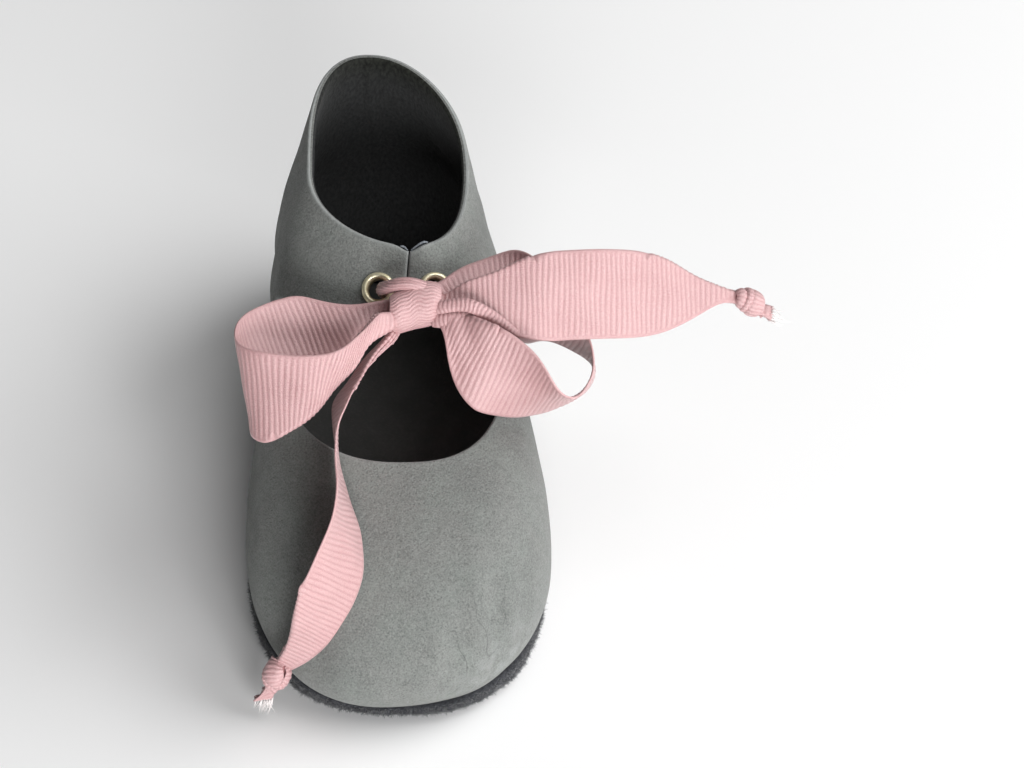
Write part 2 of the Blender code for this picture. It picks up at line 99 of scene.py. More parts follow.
# Unevenness: its height, how wide its bumps are, and its seed
NOISE_WAVES = 14
NOISE_PITCHES = (0.6, 1.4)
NOISE_SHARE = 0.6
LEATHER_NOISE = (0.28, 17, 3)
FINE_NOISE = (0.10, 6, 4)
SCUFF_NOISE = (1.0, 1.6, 8)
LINING_NOISE = (0.15, 1.5, 12)
SUEDE_NOISES = ((0.14, 1.3, 21), (0.16, 6, 22))
EYELET_NOISE = (0.012, 2.2, 41)
WRAP_NOISE = (0.12, 3, 51)
RIBBON_NOISE = (0.16, 5)

# Lip folded out beside the notch, the lining's edge that stands up behind it as rows of inset and height,
# and the seams on the inside at the back: a strip up the middle and the wavy edge of the heel's lining.
# A pair holds where something starts and where it is full
LIP_RISE = 0.93
LIP_LIFT = 0.8
LIP_ANGLE = 9.0
LIP_SPREAD = 6.0
# The standing lining edges are painted a pale bluish grey: a painted highlight along the lip
LINING_EDGES = ((1.2, 14.0), (-1.2, -6.5))
LINING_SECTION = ((-1.8, -1.2), (-1.7, -0.3), (-1.4, 0.35), (-0.9, 0.6))
LINING_THICKNESS = 0.28
LINING_STEPS = 40
LINING_FADE = 0.3
LINING_STEP = 0.01
STRIP_ANGLES = (4.0, 3.2)
STRIP_RISES = (0.70, 0.72)
SOCK_ANGLES = (90, 70)
SOCK_RISES = (0.70, 0.688)
SOCK_WAVE = 0.012
SOCK_PITCH = 9
SEAM_HEIGHT = 0.25
SEAM_EDGE = (1.0, 3.0)

# Wear and painted light on the leather: how pale its cut edges are and how far in, partly wear and partly a
# painted highlight, where the scuffs and the wrinkles are and how far they spread, the wrinkles' lines
# painted darker as painted shade, and the painted light band on the lining under the collar, on the side
# that faces the light
EDGE_WEAR_AND_HIGHLIGHT = 0.75
EDGE_WEAR_AND_HIGHLIGHT_REACH = 0.35
SCUFF = 0.35
SCUFF_ANGLE = (38, 20)
SCUFF_RISE = (0.14, 0.07)
WRINKLE_ANGLE = (28, 20)
WRINKLE_RISE = (0.24, 0.12)
RIM_LIGHT_ANGLE = 150
RIM_LIGHT_POWER = 0.7
RIM_LIGHT_REACH = 4.0

# Creases of the leather: a line from one place on the last to another, as angle in degrees and rise,
# with its depth, and how wide it is. A depth below zero is a ridge
CREASES = (
    (180, 0.02, 180, 0.99, 0.45, 0.7),
    (22, 0.30, 14, 0.12, 0.35, 1.6),
    (32, 0.42, 30, 0.14, -0.3, 2.2),
    (40, 0.40, 36, 0.16, 0.45, 2.0),
    (55, 0.34, 48, 0.12, 0.3, 1.8),
    (-35, 0.36, -30, 0.12, 0.3, 2.4),
    (-62, 0.50, -58, 0.2, 0.35, 2.6),
    (-100, 0.72, -104, 0.3, 0.6, 3.0),
    (-118, 0.8, -124, 0.35, -0.5, 3.2),
    (-135, 0.78, -140, 0.3, 0.6, 3.2),
    (104, 0.74, 108, 0.34, 0.6, 3.0),
    (128, 0.78, 134, 0.34, 0.5, 3.4),
    (148, 0.84, 152, 0.4, -0.4, 3.0),
)
CREASE_STEPS = 14
CREASE_FADE = 0.6
CREASE_ENDS = (0.02, 0.98)
SHOULDER = 0.4
SHOULDER_AWAY = 2

# Sole: rows of inset, outset, lift and climb from its flat spot round its edge, then inset and height in
# its well. Insole: rows of inset and share of its thickness
SOLE_OUTSET = 0.5
RIM_WIDTH = 1.9
FLAT_INSET = 5.0
EDGE_LIFT = 0.5
TOE_ROLL = 9.0
TOE_SPRING = 1.6
TOE_POWER = 4
ARCH_INSET = 5.0
ARCH_LIFT = 0.8
ARCH_ANGLE = -112.0
ARCH_SPREAD = 24.0
SOLE_SECTION = (
    (1.00, 0.0, 0.00, 0.00),
    (0.50, 0.0, 0.25, 0.00),
    (0.12, 0.0, 0.80, 0.02),
    (0.00, 0.6, 1.00, 0.25),
    (0.00, 1.0, 1.00, 0.60),
    (0.00, 0.3, 1.00, 1.00),
)
WELL_SECTION = ((0.6, 0.3), (2.0, 0.0))
INSOLE_THICKNESS = 1.1
INSOLE_INSET = 3.0
INSOLE_SECTION = ((1.0, 0.0), (0.3, 0.12), (0.0, 0.36), (0.0, 0.7), (0.2, 0.9), (0.7, 1.0))
OUTLINE_COLUMNS = 480
SOLE_ROWS = 22

# Fuzz on the suede's edge, and a hair's rings as share of its length and of its thickness
FIBRES = 9000
FIBRE_LENGTHS = (0.3, 1.15)
FIBRE_RADIUS = 0.055
FIBRE_STRAY = 0.45
FIBRE_RISE = 0.15
FIBRE_SEED = 31
HAIR_SECTION = ((-0.1, 1.0), (0.5, 0.75), (1.0, 0.12))
HAIR_TIP = (0.0, 0.5, 1.0)
HAIR_SIDES = 3
HAIR_LENGTHS = (0.5, 1.0)
HAIR_WIDTHS = (0.6, 1.2)
HAIR_BEND = 0.25

# Eyelets: their place, and their profile as radius and height, from the bore over the lip and down the barrel
EYELET_RISE = 0.862
EYELET_ANGLES = {"eyelet_medial": -15.5, "eyelet_lateral": 17.5}
EYELET_BARREL = 2.2
EYELET_PROFILE = (
    (1.90, 0.30),
    (1.97, 0.58),
    (2.12, 0.82),
    (2.35, 0.95),
    (2.60, 0.94),
    (2.83, 0.80),
    (2.98, 0.58),
    (3.02, 0.38),
    (2.96, 0.22),
    (2.30, 0.20),
    (2.20, 0.10),
    (2.20, -LEATHER - 0.75),
    (2.75, -LEATHER - 0.75),
    (2.82, -LEATHER - 0.90),
    (2.75, -LEATHER - 1.05),
    (2.10, -LEATHER - 1.15),
    (1.92, -LEATHER - 1.00),
)
EYELET_SIDES = 64

# The bow's frame: right to the lateral side, up along the strap, out away from it.
# The knot: rows of right and girth, and its waves as depth, pitch, shift, how far they bend and from where
KNOT_RISE = 0.822
KNOT_RIGHT = 1.4
KNOT_OUT = 5.6
KNOT_HALF_HEIGHT = 4.0
KNOT_HALF_DEPTH = 3.0
KNOT_SECTION = ((-4.6, 0.72), (-3.6, 0.90), (-1.6, 1.0), (1.6, 1.0), (3.6, 0.92), (4.6, 0.76))
WRAP_RIBS = 33
WRAP_RIB_SIDES = 8
WRAP_ROWS = 61
WRAP_RADIUS = 3.5
WRAP_NOISE_RADIUS = 4
WRAP_SWAYS = ((0.45, 8, 1.5, 0.5, 0), (0.2, 2.9, 0, 1.2, 0.4 - math.pi / 2))
WRAP_FOLD = (0.16, 2 * math.pi / 0.9, 0, 1.2, 0.5)
WRAP_RIB = 0.8
WRAP_SLOPE = 0.24
WRAP_END = (0.93, 0.6, 0.6)

# Ribbon: its cut width and make
RIBBON_WIDTH = 16.0
RIBBON_HALF = 0.17
RIB_PITCH = 0.98
RIB_HEIGHT = 0.13
RIB_STATIONS = 6
BAND_PITCH = 0.78
# Painted shade in the grooves between the ribs: how it falls off from a groove
GROOVE_SHADE_POWER = 1.4
SELVEDGE_RIDGE = 0.75
SELVEDGE_THIN = 0.6
# share of painted groove shade just inside the selvedge
SELVEDGE_SHADE = 0.5
RIB_WANDER = 0.12
WANDER_ALONG = 0.7
WANDER_ACROSS = 3
RIBBON_STRANDS = 36
STRAND = np.linspace(-1, 1, RIBBON_STRANDS + 1)
FOLD_GAP = 0.55
FOLD_ROUND = 0.9
FOLD_LEAST = 0.9
FOLD_SAMPLES = 8
RIPPLE_DEPTH = 0.4
RIPPLE_COUNT = 2.5
RIPPLE_REACH = 9.6
RIPPLE_PHASE = 0.6
NARROWEST = 2.2
BAND_STEPS = 200

# Ribbon of the bow, a row for each fold. right, up, out: the middle of the ribbon in the bow's frame,
# width: how wide it is there with the rest folded flat, cant: the turn of its width from up towards right,
# tilt: its lean out of the bow's plane, edge: the edge that isn't folded, 1 for the upper one and -1 for the
# lower one, side: the side of the folded layers
LOOP_MEDIAL = (
    (-1.0, 0.4, -0.8, 3.0, 0, 0, 1, -1),
    (-5.0, -0.2, -1.2, 3.2, -6, 0, 1, -1),
    (-11.2, -2.0, -1.2, 5.6, -20, -6, 1, -1),
    (-14.0, -3.6, -1.8, 10.6, -24, -2, 1, -1),
    (-17.2, -4.8, -2.4, 15.0, -22, 2, 1, -1),
    (-22.2, -6.3, -1.8, 16.0, -20, 4, 1, 0),
    (-27.4, -9.0, 0.6, 16.0, -18, 4, 1, 0),
    (-30.0, -12.2, 3.4, 16.0, -12, 4, 1, 0),
    (-29.8, -15.4, 6.2, 16.0, -7, 4, 1, 0),
    (-27.0, -16.9, 8.0, 16.0, -3, 3, 1, 1),
    (-23.6, -16.7, 8.8, 14.2, 0, 2, 1, 1),
    (-19.3, -15.6, 8.6, 11.8, 6, 0, 1, 1),
    (-16.2, -14.1, 7.8, 10.4, 14, -2, 1, 1),
    (-12.5, -10.8, 6.4, 9.2, 20, -3, 1, 1),
    (-9.4, -7.2, 5.2, 7.4, 18, -4, 1, 1),
    (-6.8, -4.2, 4.0, 5.2, 12, 0, 1, 1),
    (-4.4, -2.8, 2.4, 3.2, 0, 0, 1, 1),
)
TAIL_LATERAL = (
    (0.0, -0.4, 1.2, 2.6, 0, 0, -1, 1),
    (5.0, 0.7, 0.6, 3.0, 0, 0, -1, 1),
    (8.0, 1.2, 1.6, 5.4, 0, -4, -1, 1),
    (13.4, 0.9, 2.4, 10.0, 0, -4, -1, 1),
    (20.0, 1.3, 2.2, 14.6, 0, 0, -1, 1),
    (33.0, 2.4, 0.0, 16.0, 0, 6, -1, 1),
    (44.0, 2.7, -3.2, 13.8, 0, 6, -1, 1),
    (52.0, 3.0, -6.0, 6.4, 0, 0, -1, 0.9),
    (56.6, 3.2, -7.4, 2.6, 0, 0, -1, 0.5),
    (60.0, 2.6, -8.6, 2.2, 0, 0, -1, 0.3),
)
LOOP_LATERAL = (
    (1.0, 2.0, -1.2, 3.0, -20, 0, 1, 1),
    (5.0, 3.2, -1.2, 3.4, -24, -8, 1, 1),
    (9.5, 4.6, -2.0, 7.4, -14, -28, 1, 1),
    (16.0, 4.3, -4.2, 14.0, 0, -22, 1, 1),
    (24.6, -0.4, -8.8, 16.0, 14, 62, 1, 0),
    (30.6, -5.6, -9.6, 16.0, 38, 86, 1, 0),
    (32.6, -9.6, -9.0, 16.0, 42, 98, 1, 0),
    (31.4, -13.2, -7.6, 16.0, 42, 99, 0, 0),
    (28.2, -15.9, -5.0, 16.0, 36, 94, -1, 0),
    (23.4, -16.5, -1.4, 16.0, 30, 76, -1, 0),
    (17.8, -14.0, 1.8, 16.0, 26, 44, -1, -1),
    (13.2, -11.7, 3.2, 15.9, 24, 28, -1, -1),
    (9.2, -8.2, 3.2, 12.0, 28, 24, -1, -1),
    (6.6, -4.6, 2.6, 6.4, 24, 4, -1, -1),
    (5.0, -2.4, 2.0, 3.6, 20, 0, -1, -1),
)
TAIL_MEDIAL = (
    (1.5, -0.6, -0.4, 3.0, 20, 10, -1, 0.4),
    (-2.2, -2.0, -0.8, 3.0, 30, 20, -1, 0.5),
    (-5.0, -5.4, 0.0, 3.0, 46, 32, -1, 0.5),
    (-8.4, -9.2, 0.8, 4.4, 56, 48, -1, 0.5),
    (-10.6, -12.6, 0.8, 8.0, 62, 66, -1, 0.5),
    (-12.4, -15.6, 1.4, 14.0, 72, 76, -1, 0.2),
    (-13.4, -18.4, 2.6, 16.0, 78, 82, -1, 0),
    (-14.1, -24.0, 5.0, 16.0, 86, 92, -1, 0),
    (-13.5, -31.4, 8.4, 16.0, 92, 97, -1, 0),
    (-12.7, -38.6, 11.0, 16.0, 98, 108, -1, -1),
    (-13.8, -46.6, 12.2, 16.0, 106, 123, -1, -1),
    (-16.8, -54.0, 10.0, 14.0, 112, 128, -1, -1),
    (-18.8, -58.4, 6.0, 9.0, 114, 136, -1, -0.9),
    (-21.4, -61.8, 1.2, 4.8, 114, 150, -1, -0.5),
    (-23.6, -63.6, -2.2, 2.8, 114, 160, -1, -0.4),
)

# The gathered ribbon through the eyelets: height along an eyelet's axis and shift towards the front seam,
# then its ends at the knot in the bow's frame, and how its ribs drift and its pleats turn along it
BAR_SECTION = ((1.0, 0.8), (-0.8, 0.75), (-2.4, 0.7), (-4.2, 1.2), (-5.2, 2.8))
BAR_ENDS = {
    "eyelet_medial": ((3.0, 2.6, 0.6), (0.2, 3.6, 1.3), (-2.2, 3.9, 0.9), (-4.2, 3.7, -0.6)),
    "eyelet_lateral": ((2.0, 2.6, -1.6), (3.6, 3.6, -2.6)),
}
BAR_RADIUS = 1.2
BAR_SIDES = 72
BAR_RIBS = 12
BAR_ACROSS = (0.2, 0.6, 0.8)
BAR_DRIFTS = ((0.5, 0.35), (0.15, 1.1))
BAR_PLEATS = 1.5
BAR_TWIST = 0.12
BAR_WALL = 0.84
BAR_PLEAT = 0.18
# Painted shade in the pleats' folds of the gathered ribbon, and how sharp it is
PLEAT_SHADE = 0.8
PLEAT_SHARP = 4

# Folds beside the knot, where the ribbon's edges turn over to the front: right, up, out and width, in the
# bow's frame
TUCKS = (
    ((3.2, -0.4, 1.8, 2.2), (4.8, -0.3, 3.0, 2.2), (8.0, -0.1, 4.0, 2.0), (10.5, -0.75, 4.4, 1.9),
     (12.9, -1.9, 4.3, 1.8), (15.1, -3.2, 3.8, 1.5), (17.6, -5.0, 2.8, 0.9)),
    ((3.2, -2.4, 1.2, 2.4), (4.8, -2.6, 2.2, 2.6), (8.0, -2.4, 3.2, 2.7), (10.5, -2.7, 3.5, 2.0),
     (13.4, -3.6, 3.0, 0.8)),
)
TUCK_DROOP = 0.5
DROOP_POWER = 3

# Knots at the ribbon's ends: middle and axis in the bow's frame, the core, and the bands of ribbon round it.
# turn: the place round the axis in degrees from its outside, share: the place along the core from -1 to 1,
# lift: the height over the core, width: how wide the band is
END_KNOTS = {
    "ribbon_end_knot_lateral": ((60.8, 2.4, -8.9), (0.88, -0.36, -0.3)),
    "ribbon_end_knot_medial": ((-24.5, -64.3, -2.8), (-0.16, -0.78, -0.6)),
}
END_RADIUS = 1.6
END_HALF = 2.8
END_POWER = 2.4
END_DROOP = 0.7
# The core shows only in the gaps between the bands and is painted with full groove shade
CORE_SHADE = 3.0
CORE_LEAST = 0.2
CORE_RINGS = 25
CORE_SIDES = 40
END_BANDS = {
    "ribbon_end_knot_lateral": (
        ((-175, 0.26, 0.2, 2.0), (-90, 0.34, 0.6, 3.0), (0, 0.42, 0.8, 3.2), (90, 0.50, 0.6, 2.8),
         (175, 0.40, 0.2, 2.0)),
        ((-160, -0.42, 0.2, 1.4), (-70, -0.30, 0.6, 1.4), (10, -0.24, 0.8, 1.4), (100, -0.18, 0.5, 1.4)),
        ((-120, -1.00, 0.2, 1.9), (-50, -0.86, 0.6, 1.9), (20, -0.68, 0.6, 1.8), (100, -0.50, 0.2, 1.6)),
    ),
    "ribbon_end_knot_medial": (
        ((40, -1.15, 0.4, 2.4), (18, -0.60, 0.9, 3.4), (4, -0.15, 1.2, 3.2), (-8, 0.25, 1.2, 2.2),
         (-16, 0.60, 0.9, 0.8)),
        ((110, -0.45, 0.3, 1.3), (74, -0.05, 0.8, 1.5), (57, 0.38, 0.9, 1.5), (38, 0.68, 0.9, 1.5),
         (15, 0.94, 0.9, 1.4), (-12, 1.10, 0.7, 1.2)),
        ((-110, -0.60, 0.2, 1.6), (-84, -0.20, 0.8, 1.7), (-66, 0.30, 0.8, 1.7), (-40, 0.80, 0.8, 1.5),
         (0, 1.2, 0.8, 1.2)),
        ((-120, 0.10, 0.2, 1.4), (-88, 0.40, 0.8, 1.5), (-60, 0.85, 0.9, 1.4), (-20, 1.3, 0.8, 1.2)),
    ),
}

# The cut end beyond such a knot: its middle in the knot's frame, and width, edge and side as for the bow.
# Then the threads that fray from it
FLARES = {
    "ribbon_end_knot_lateral": (
        (0.0, 0.0, 1.0, 2.4, 1, -0.3),
        (0.0, 0.0, 2.6, 2.5, 1, -0.3),
        (0.1, 0.1, 3.8, 2.7, 1, -0.3),
        (0.2, 0.1, 5.2, 3.0, 1, -0.4),
    ),
    "ribbon_end_knot_medial": (
        (0.0, 0.0, 1.0, 2.2, 1, -0.15),
        (0.0, 0.2, 2.6, 2.3, 1, -0.15),
        (0.3, 0.6, 4.2, 2.8, 1, -0.15),
        (0.2, 1.4, 6.0, 3.6, 1, -0.15),
    ),
}
THREADS = {"ribbon_end_knot_lateral": 14, "ribbon_end_knot_medial": 44}
THREAD_SPOTS = (0.25, 0.7)
THREAD_LENGTHS = (2.2, 4.4)
THREAD_RADIUS = 0.15
SPOT_STRAY = 0.045
THREAD_STRAY = 0.11
FLARE_ACROSS = (0.35, 0.94, 0.0)
FLARE_RIPPLE = 0.3
FLARE_SEED = 7

# Camera: where it stands, the way it looks, the way up in its picture, and its lens on the usual sensor
EYE = (-24.0, -407.2, 458.8)
SIGHT = (0.0758, 0.6876, -0.7260)
PICTURE_UP = (0.0, 0.7313, 0.6820)
LENS = 114.0
NEAREST = 0.01

# Floor, and the lights' place and size in metres and power in watts
FLOOR_REACH = 4000.0
FLOOR_COLOUR = (0.93, 0.93, 0.93, 1)
LIGHT_TARGET = (0.0, 0.0, 0.03)
LIGHTS = {
    "front": ((0.15, -0.91, 0.25), 0.50, 9.0),
    "right": ((0.82, 0.05, 0.62), 1.20, 10.0),
    "top": ((0.40, 0.10, 1.00), 0.80, 3.0),
}
WORLD_COLOUR = (1, 1, 1, 1)
WORLD_STRENGTH = 0.10

# Materials: how rough their noise is
NOISE_ROUGHNESS = 0.55


def level_at(rise):
    """The last's ring at each rise, its columns by name."""
    rises = [row[0] for row in LEVELS]
    return dict(zip(LEVEL_COLUMNS, smooth(rises, LEVELS, rise).T))


def smooth(stations, values, at):
    """Natural cubic spline through rows of values at the given stations, read at each place in at."""
    stations = np.asarray(stations, float)
    values = np.asarray(values, float)
    gap = np.diff(stations)
    count = len(stations)
    system = np.eye(count)
    right = np.zeros_like(values)
    for i in range(1, count - 1):
        system[i, i - 1:i + 2] = gap[i - 1], 2 * (gap[i - 1] + gap[i]), gap[i]
        right[i] = 6 * ((values[i + 1] - values[i]) / gap[i] - (values[i] - values[i - 1]) / gap[i - 1])
    bend = np.linalg.solve(system, right)
    at = np.asarray(at, float)
    k = np.clip(np.searchsorted(stations, at) - 1, 0, count - 2)
    step = gap[k][:, None]
    a = (stations[k + 1] - at)[:, None] / step
    b = 1 - a
    curve = (a ** 3 - a) * bend[k] + (b ** 3 - b) * bend[k + 1]
    return a * values[k] + b * values[k + 1] + curve * step ** 2 / 6


def even_rows(rows, count, stations=None):
    """A table's rows at count even places along it, smoothly in between."""
    stations = np.arange(len(rows)) if stations is None else stations
    return smooth(stations, rows, np.linspace(0, stations[-1], count))


def bell(value, middle, spread):
    return np.exp(-((value - middle) / spread) ** 2)


def ramp(value, start, full):
    """0 where a value is before start, 1 where it is past full."""
    return np.clip((value - start) / (full - start), 0, 1)


def around(count):
    """Even angles round a circle."""
    return np.linspace(0, 2 * np.pi, count, endpoint=False)


def parabola(stations, values, at):
    """The parabola through three values at their stations, read at each place in at."""
    total = 0
    for i, value in enumerate(values):
        share = 1
        for j, station in enumerate(stations):
            if j != i:
                share = share * (at - station) / (stations[i] - station)
        total = total + value * share
    return total


def last_point(angle, rise):
    """Points of the last's outer surface; angle is in radians from the toe, positive to the lateral side."""
    level = level_at(rise)
    ahead = np.cos(angle)
    aside = np.sin(angle)
    in_front = ahead >= 0
    power = np.where(in_front, level["front_round"], level["back_round"])
    radius = (np.abs(ahead) ** power + np.abs(aside) ** power) ** (-1 / power)
    along = radius * np.abs(ahead)
    end_y = np.where(in_front, level["front_y"], level["back_y"])
    place = level["wide_y"] + (end_y - level["wide_y"]) * along
    half = np.where(aside >= 0, level["lateral"], level["medial"])
    half = half - np.where(in_front, 0, level["waist"] * np.sin(np.pi * along) ** 2)
    swing = np.where(in_front, level["front_x"], level["back_x"]) * along ** 2
    x = half * radius * aside + level["centre_x"] + swing
    ends = level["front_y"], level["wide_y"], level["back_y"]
    heights = level["front_z"] * INSTEP_HEIGHT, level["side_z"] * HEEL_HEIGHT, level["back_z"] * HEEL_HEIGHT
    z = parabola(ends, heights, place)
    return np.stack((x * BALL_WIDTH / 2, place * LENGTH / 2, z), axis=1) / PERCENT


def unit(vectors):
    return vectors / np.linalg.norm(vectors, axis=-1, keepdims=True)


def last_normal(angle, rise):
    """Outward unit normals of the last at the same angles and rises."""
    round_it = last_point(angle + SMALL_STEP, rise) - last_point(angle - SMALL_STEP, rise)
    above = np.minimum(rise + SMALL_STEP, 1)
    below = np.maximum(rise - SMALL_STEP, 0)
    return unit(np.cross(round_it, last_point(angle, above) - last_point(angle, below)))


def edge_rise(angle, middle, power):
    """Rise of an edge of the throat, from its middle at the front seam into the corner and on behind it."""
    share = np.minimum(np.abs(angle) / math.radians(CORNER_ANGLE), 1)
    return CORNER_RISE + (middle - CORNER_RISE) * (1 - share ** power) ** CORNER_POWER


def collar_rise(angle):
    """How far up the collar's edge is at an angle, with its small notch at the front seam."""
    return 1 - NOTCH_RISE * bell(np.degrees(angle), 0, NOTCH_ANGLE)


def uneven(points, height, size, seed):
    """Smooth unevenness of about this height, with bumps about size millimetres across."""
    random = np.random.default_rng(seed)
    total = np.zeros(points.shape[:-1])
    for _ in range(NOISE_WAVES):
        way = random.normal(size=3)
        way *= random.uniform(*NOISE_PITCHES) * math.pi / (size * np.linalg.norm(way))
        total += np.sin(points @ way + random.uniform(0, 2 * math.pi))
    return height * total * math.sqrt(2 / NOISE_WAVES) * NOISE_SHARE


def distances(points):
    """How far along a line each of its points is."""
    return np.concatenate(((0,), np.cumsum(np.linalg.norm(np.diff(points, axis=0), axis=1))))


def quads(index):
    """Quads between the rows of a table of point numbers."""
    corners = index[:-1, :-1], index[:-1, 1:], index[1:, 1:], index[1:, :-1]
    return np.stack(corners, axis=-1).reshape(-1, 4)


def looped(index):
    """The same table with its first column again at its end."""
    return np.concatenate((index, index[:, :1]), axis=1)


def sheet_normal(sheet):
    """Unit normals of a grid of points."""
    return unit(np.cross(np.gradient(sheet, axis=0), np.gradient(sheet, axis=1)))


def slab(front, back):
    """Points and quads of a closed sheet between two grids of points."""
    rows, wide, _ = front.shape
    count = rows * wide
    index = np.arange(count).reshape(rows, wide)
    rim = np.concatenate((index[0, :-1], index[:-1, -1], index[-1, :0:-1], index[:0:-1, 0], index[0, :1]))
    faces = quads(index)
    sides = np.stack((rim[1:], rim[:-1], rim[:-1] + count, rim[1:] + count), axis=1)
    points = np.concatenate((front.reshape(-1, 3), back.reshape(-1, 3)))
    return points, np.concatenate((faces, faces[:, ::-1] + count, sides))


def tube(rings, closed_round=False):
    """Points and faces of a closed skin through rings of equal count, capped at its ends or joined up."""
    rows, wide, _ = rings.shape
    index = np.arange(rows * wide).reshape(rows, wide)
    table = np.concatenate((index, index[:1])) if closed_round else index
    faces = quads(looped(table)).tolist()
    if not closed_round:
        faces += [index[0, ::-1].tolist(), index[-1].tolist()]
    return rings.reshape(-1, 3), faces


def linked(name, data):
    """A new object of this data, in the scene."""
    thing = bpy.data.objects.new(name, data)
    bpy.context.scene.collection.objects.link(thing)
    return thing


def mesh_of(name, points, faces):
    """A mesh from points in millimetres."""
    mesh = bpy.data.meshes.new(name)
    mesh.from_pydata((np.asarray(points) * MILLIMETRE).tolist(), [], faces)
    return mesh


def add_piece(name, points, faces, materials, slot, replaced=(), kinds=None, marks=None):
    """A piece of the shoe from points in millimetres. kinds: each face's material, marks: values by point."""
    mesh = mesh_of(name, points, faces.tolist() if isinstance(faces, np.ndarray) else faces)
    for material in materials:
        mesh.materials.append(material)
    if kinds is not None:
        mesh.polygons.foreach_set("material_index", np.asarray(kinds, np.int32))
    for mark, values in (marks or {}).items():
        layer = mesh.attributes.new(mark, "FLOAT", "POINT")
        layer.data.foreach_set("value", np.asarray(values, np.float32))
    mesh.shade_smooth()
    mesh.update()
    piece = linked(name, mesh)
    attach(piece, "root")
    if replaced:
        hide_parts(*replaced)
    return piece


# Materials

class Shader:
    """A material with one principled shader, and short ways to add nodes to it."""

    def __init__(self, name, roughness, **fixed):
        self.material = bpy.data.materials.new(name)
        self.material.use_nodes = True
        self.nodes = self.material.node_tree.nodes
        self.links = self.material.node_tree.links
        self.shader = self.nodes["Principled BSDF"]
        self.shader.inputs["Roughness"].default_value = roughness
        for socket, value in fixed.items():
            self.shader.inputs[socket.replace("_", " ")].default_value = value
        self.place = self.nodes.new("ShaderNodeTexCoord").outputs["Object"]

    def feed(self, socket, value):
        """Links a node's output to one of the shader's sockets."""
        self.links.new(value, self.shader.inputs[socket])

    def node(self, kind, output, inputs, **settings):
        """Output of a new node. inputs: by name or number, each a value or another node's output."""
        node = self.nodes.new("ShaderNode" + kind)
        for name, value in settings.items():
            setattr(node, name, value)
        for name, value in inputs.items():
            if isinstance(value, bpy.types.NodeSocket):
                self.links.new(value, node.inputs[name])
            else:
                node.inputs[name].default_value = value
        return node.outputs[output]

    def noise(self, size, detail=3.0, stretch=None):
        """Noise with bumps about size millimetres across, from 0 to 1."""
        place = self.place
        if stretch is not None:
            place = self.node("Mapping", "Vector", {"Vector": place, "Scale": stretch})
        make = {"Scale": 1 / (size * MILLIMETRE), "Detail": detail, "Roughness": NOISE_ROUGHNESS}
        return self.node("TexNoise", "Fac", {"Vector": place, **make})

    def patch(self, size, detail=3.0, low=0.3, high=0.7, stretch=None):
        """The same noise, with its range from low to high spread out to 0 to 1."""
        return self.spread(self.noise(size, detail, stretch), low, high)

    def cells(self, size):
        return self.node("TexVoronoi", "Distance", {"Vector": self.place, "Scale": 1 / (size * MILLIMETRE)})

    def line(self, value, half):
        """Thin lines where a noise passes its middle: 1 on the line, 0 from half away on."""
        off = self.node("Math", 0, {0: value, 1: 0.5}, operation="SUBTRACT")
        return self.spread(self.node("Math", 0, {0: off}, operation="ABSOLUTE"), 0, half, 1, 0)

    def mark(self, name):
        return self.node("Attribute", "Fac", {}, attribute_name=name)

    def spread(self, value, low, high, to_low=0.0, to_high=1.0):
        """A value's range from low to high as another range."""
        ends = {"From Min": low, "From Max": high, "To Min": to_low, "To Max": to_high}
        return self.node("MapRange", "Result", {"Value": value, **ends})

    def mix(self, share, colour_a, colour_b):
        """One colour that turns into another as share goes from 0 to 1."""
        a, b = ((*colour, 1) if isinstance(colour, tuple) else colour for colour in (colour_a, colour_b))
        return self.node("Mix", 2, {0: share, 6: a, 7: b}, data_type="RGBA")

    def tinted(self, colour, *layers):
        """A colour under tints. layers: a value from 0 to 1, the share of the tint at 1, the tint."""
        for value, share, tint in layers:
            colour = self.mix(self.spread(value, 0, 1, 0, share), colour, tint)
        return colour

    def bump(self, *layers):
        """Bump from layers of height and its depth in millimetres."""
        under = {}
        for height, depth in layers:
            inputs = {"Height": height, "Distance": depth * MILLIMETRE, **under}
            under = {"Normal": self.node("Bump", "Normal", inputs)}
        self.feed("Normal", under["Normal"])


def make_nubuck():
    make = Shader("nubuck", 0.85, Sheen_Weight=0.12, Sheen_Roughness=0.6, Specular_IOR_Level=0.25)
    mottle = make.patch(2.4, 4)
    pore = make.spread(make.cells(0.5), 0.1, 0.45, 1, 0)
    scratch = make.patch(0.9, 2, 0.69, 0.76, (1.0, 0.16, 0.3))
    fine = make.line(make.noise(3.0, 3, (1.0, 1.0, 0.5)), 0.02)
    # wrinkle lines: bumped in, and painted darker as painted shade in the creases
    wrinkle_and_shade = make.line(make.noise(9.0, 1, (2.2, 1.6, 0.3)), 0.012)
    wrinkle_and_shade = make.node("Math", 0, {0: wrinkle_and_shade, 1: make.mark("wrinkle_and_shade")}, operation="MULTIPLY")
    cloud = make.mix(make.patch(16), (0.112, 0.120, 0.113), (0.168, 0.175, 0.164))
    make.feed("Base Color", make.tinted(
        cloud,
        (make.patch(7, 2, 0.42, 0.68), 0.5, (0.158, 0.184, 0.166)),
        (mottle, 0.45, (0.092, 0.097, 0.094)),
        (make.patch(0.3), 0.65, (0.275, 0.283, 0.271)),
        (pore, 0.5, (0.078, 0.083, 0.078)),
        (scratch, 0.14, (0.31, 0.32, 0.31)),
        (fine, 0.22, (0.085, 0.088, 0.085)),
        # painted shade in the wrinkle lines
        (wrinkle_and_shade, 0.6, (0.060, 0.063, 0.060)),
        # paler at the cut edges, partly wear and partly a painted highlight, and paler scuffs
        (make.mark("wear_and_highlight"), 1.0, (0.33, 0.345, 0.34)),
    ))
    make.feed("Roughness", make.spread(mottle, 0, 1, 0.74, 0.95))
    make.bump((make.noise(0.3), 0.1), (pore, -0.03), (make.noise(0.8, 2), 0.16),
              (make.noise(2.2, 4), 0.16), (wrinkle_and_shade, -0.06))
    return make.material


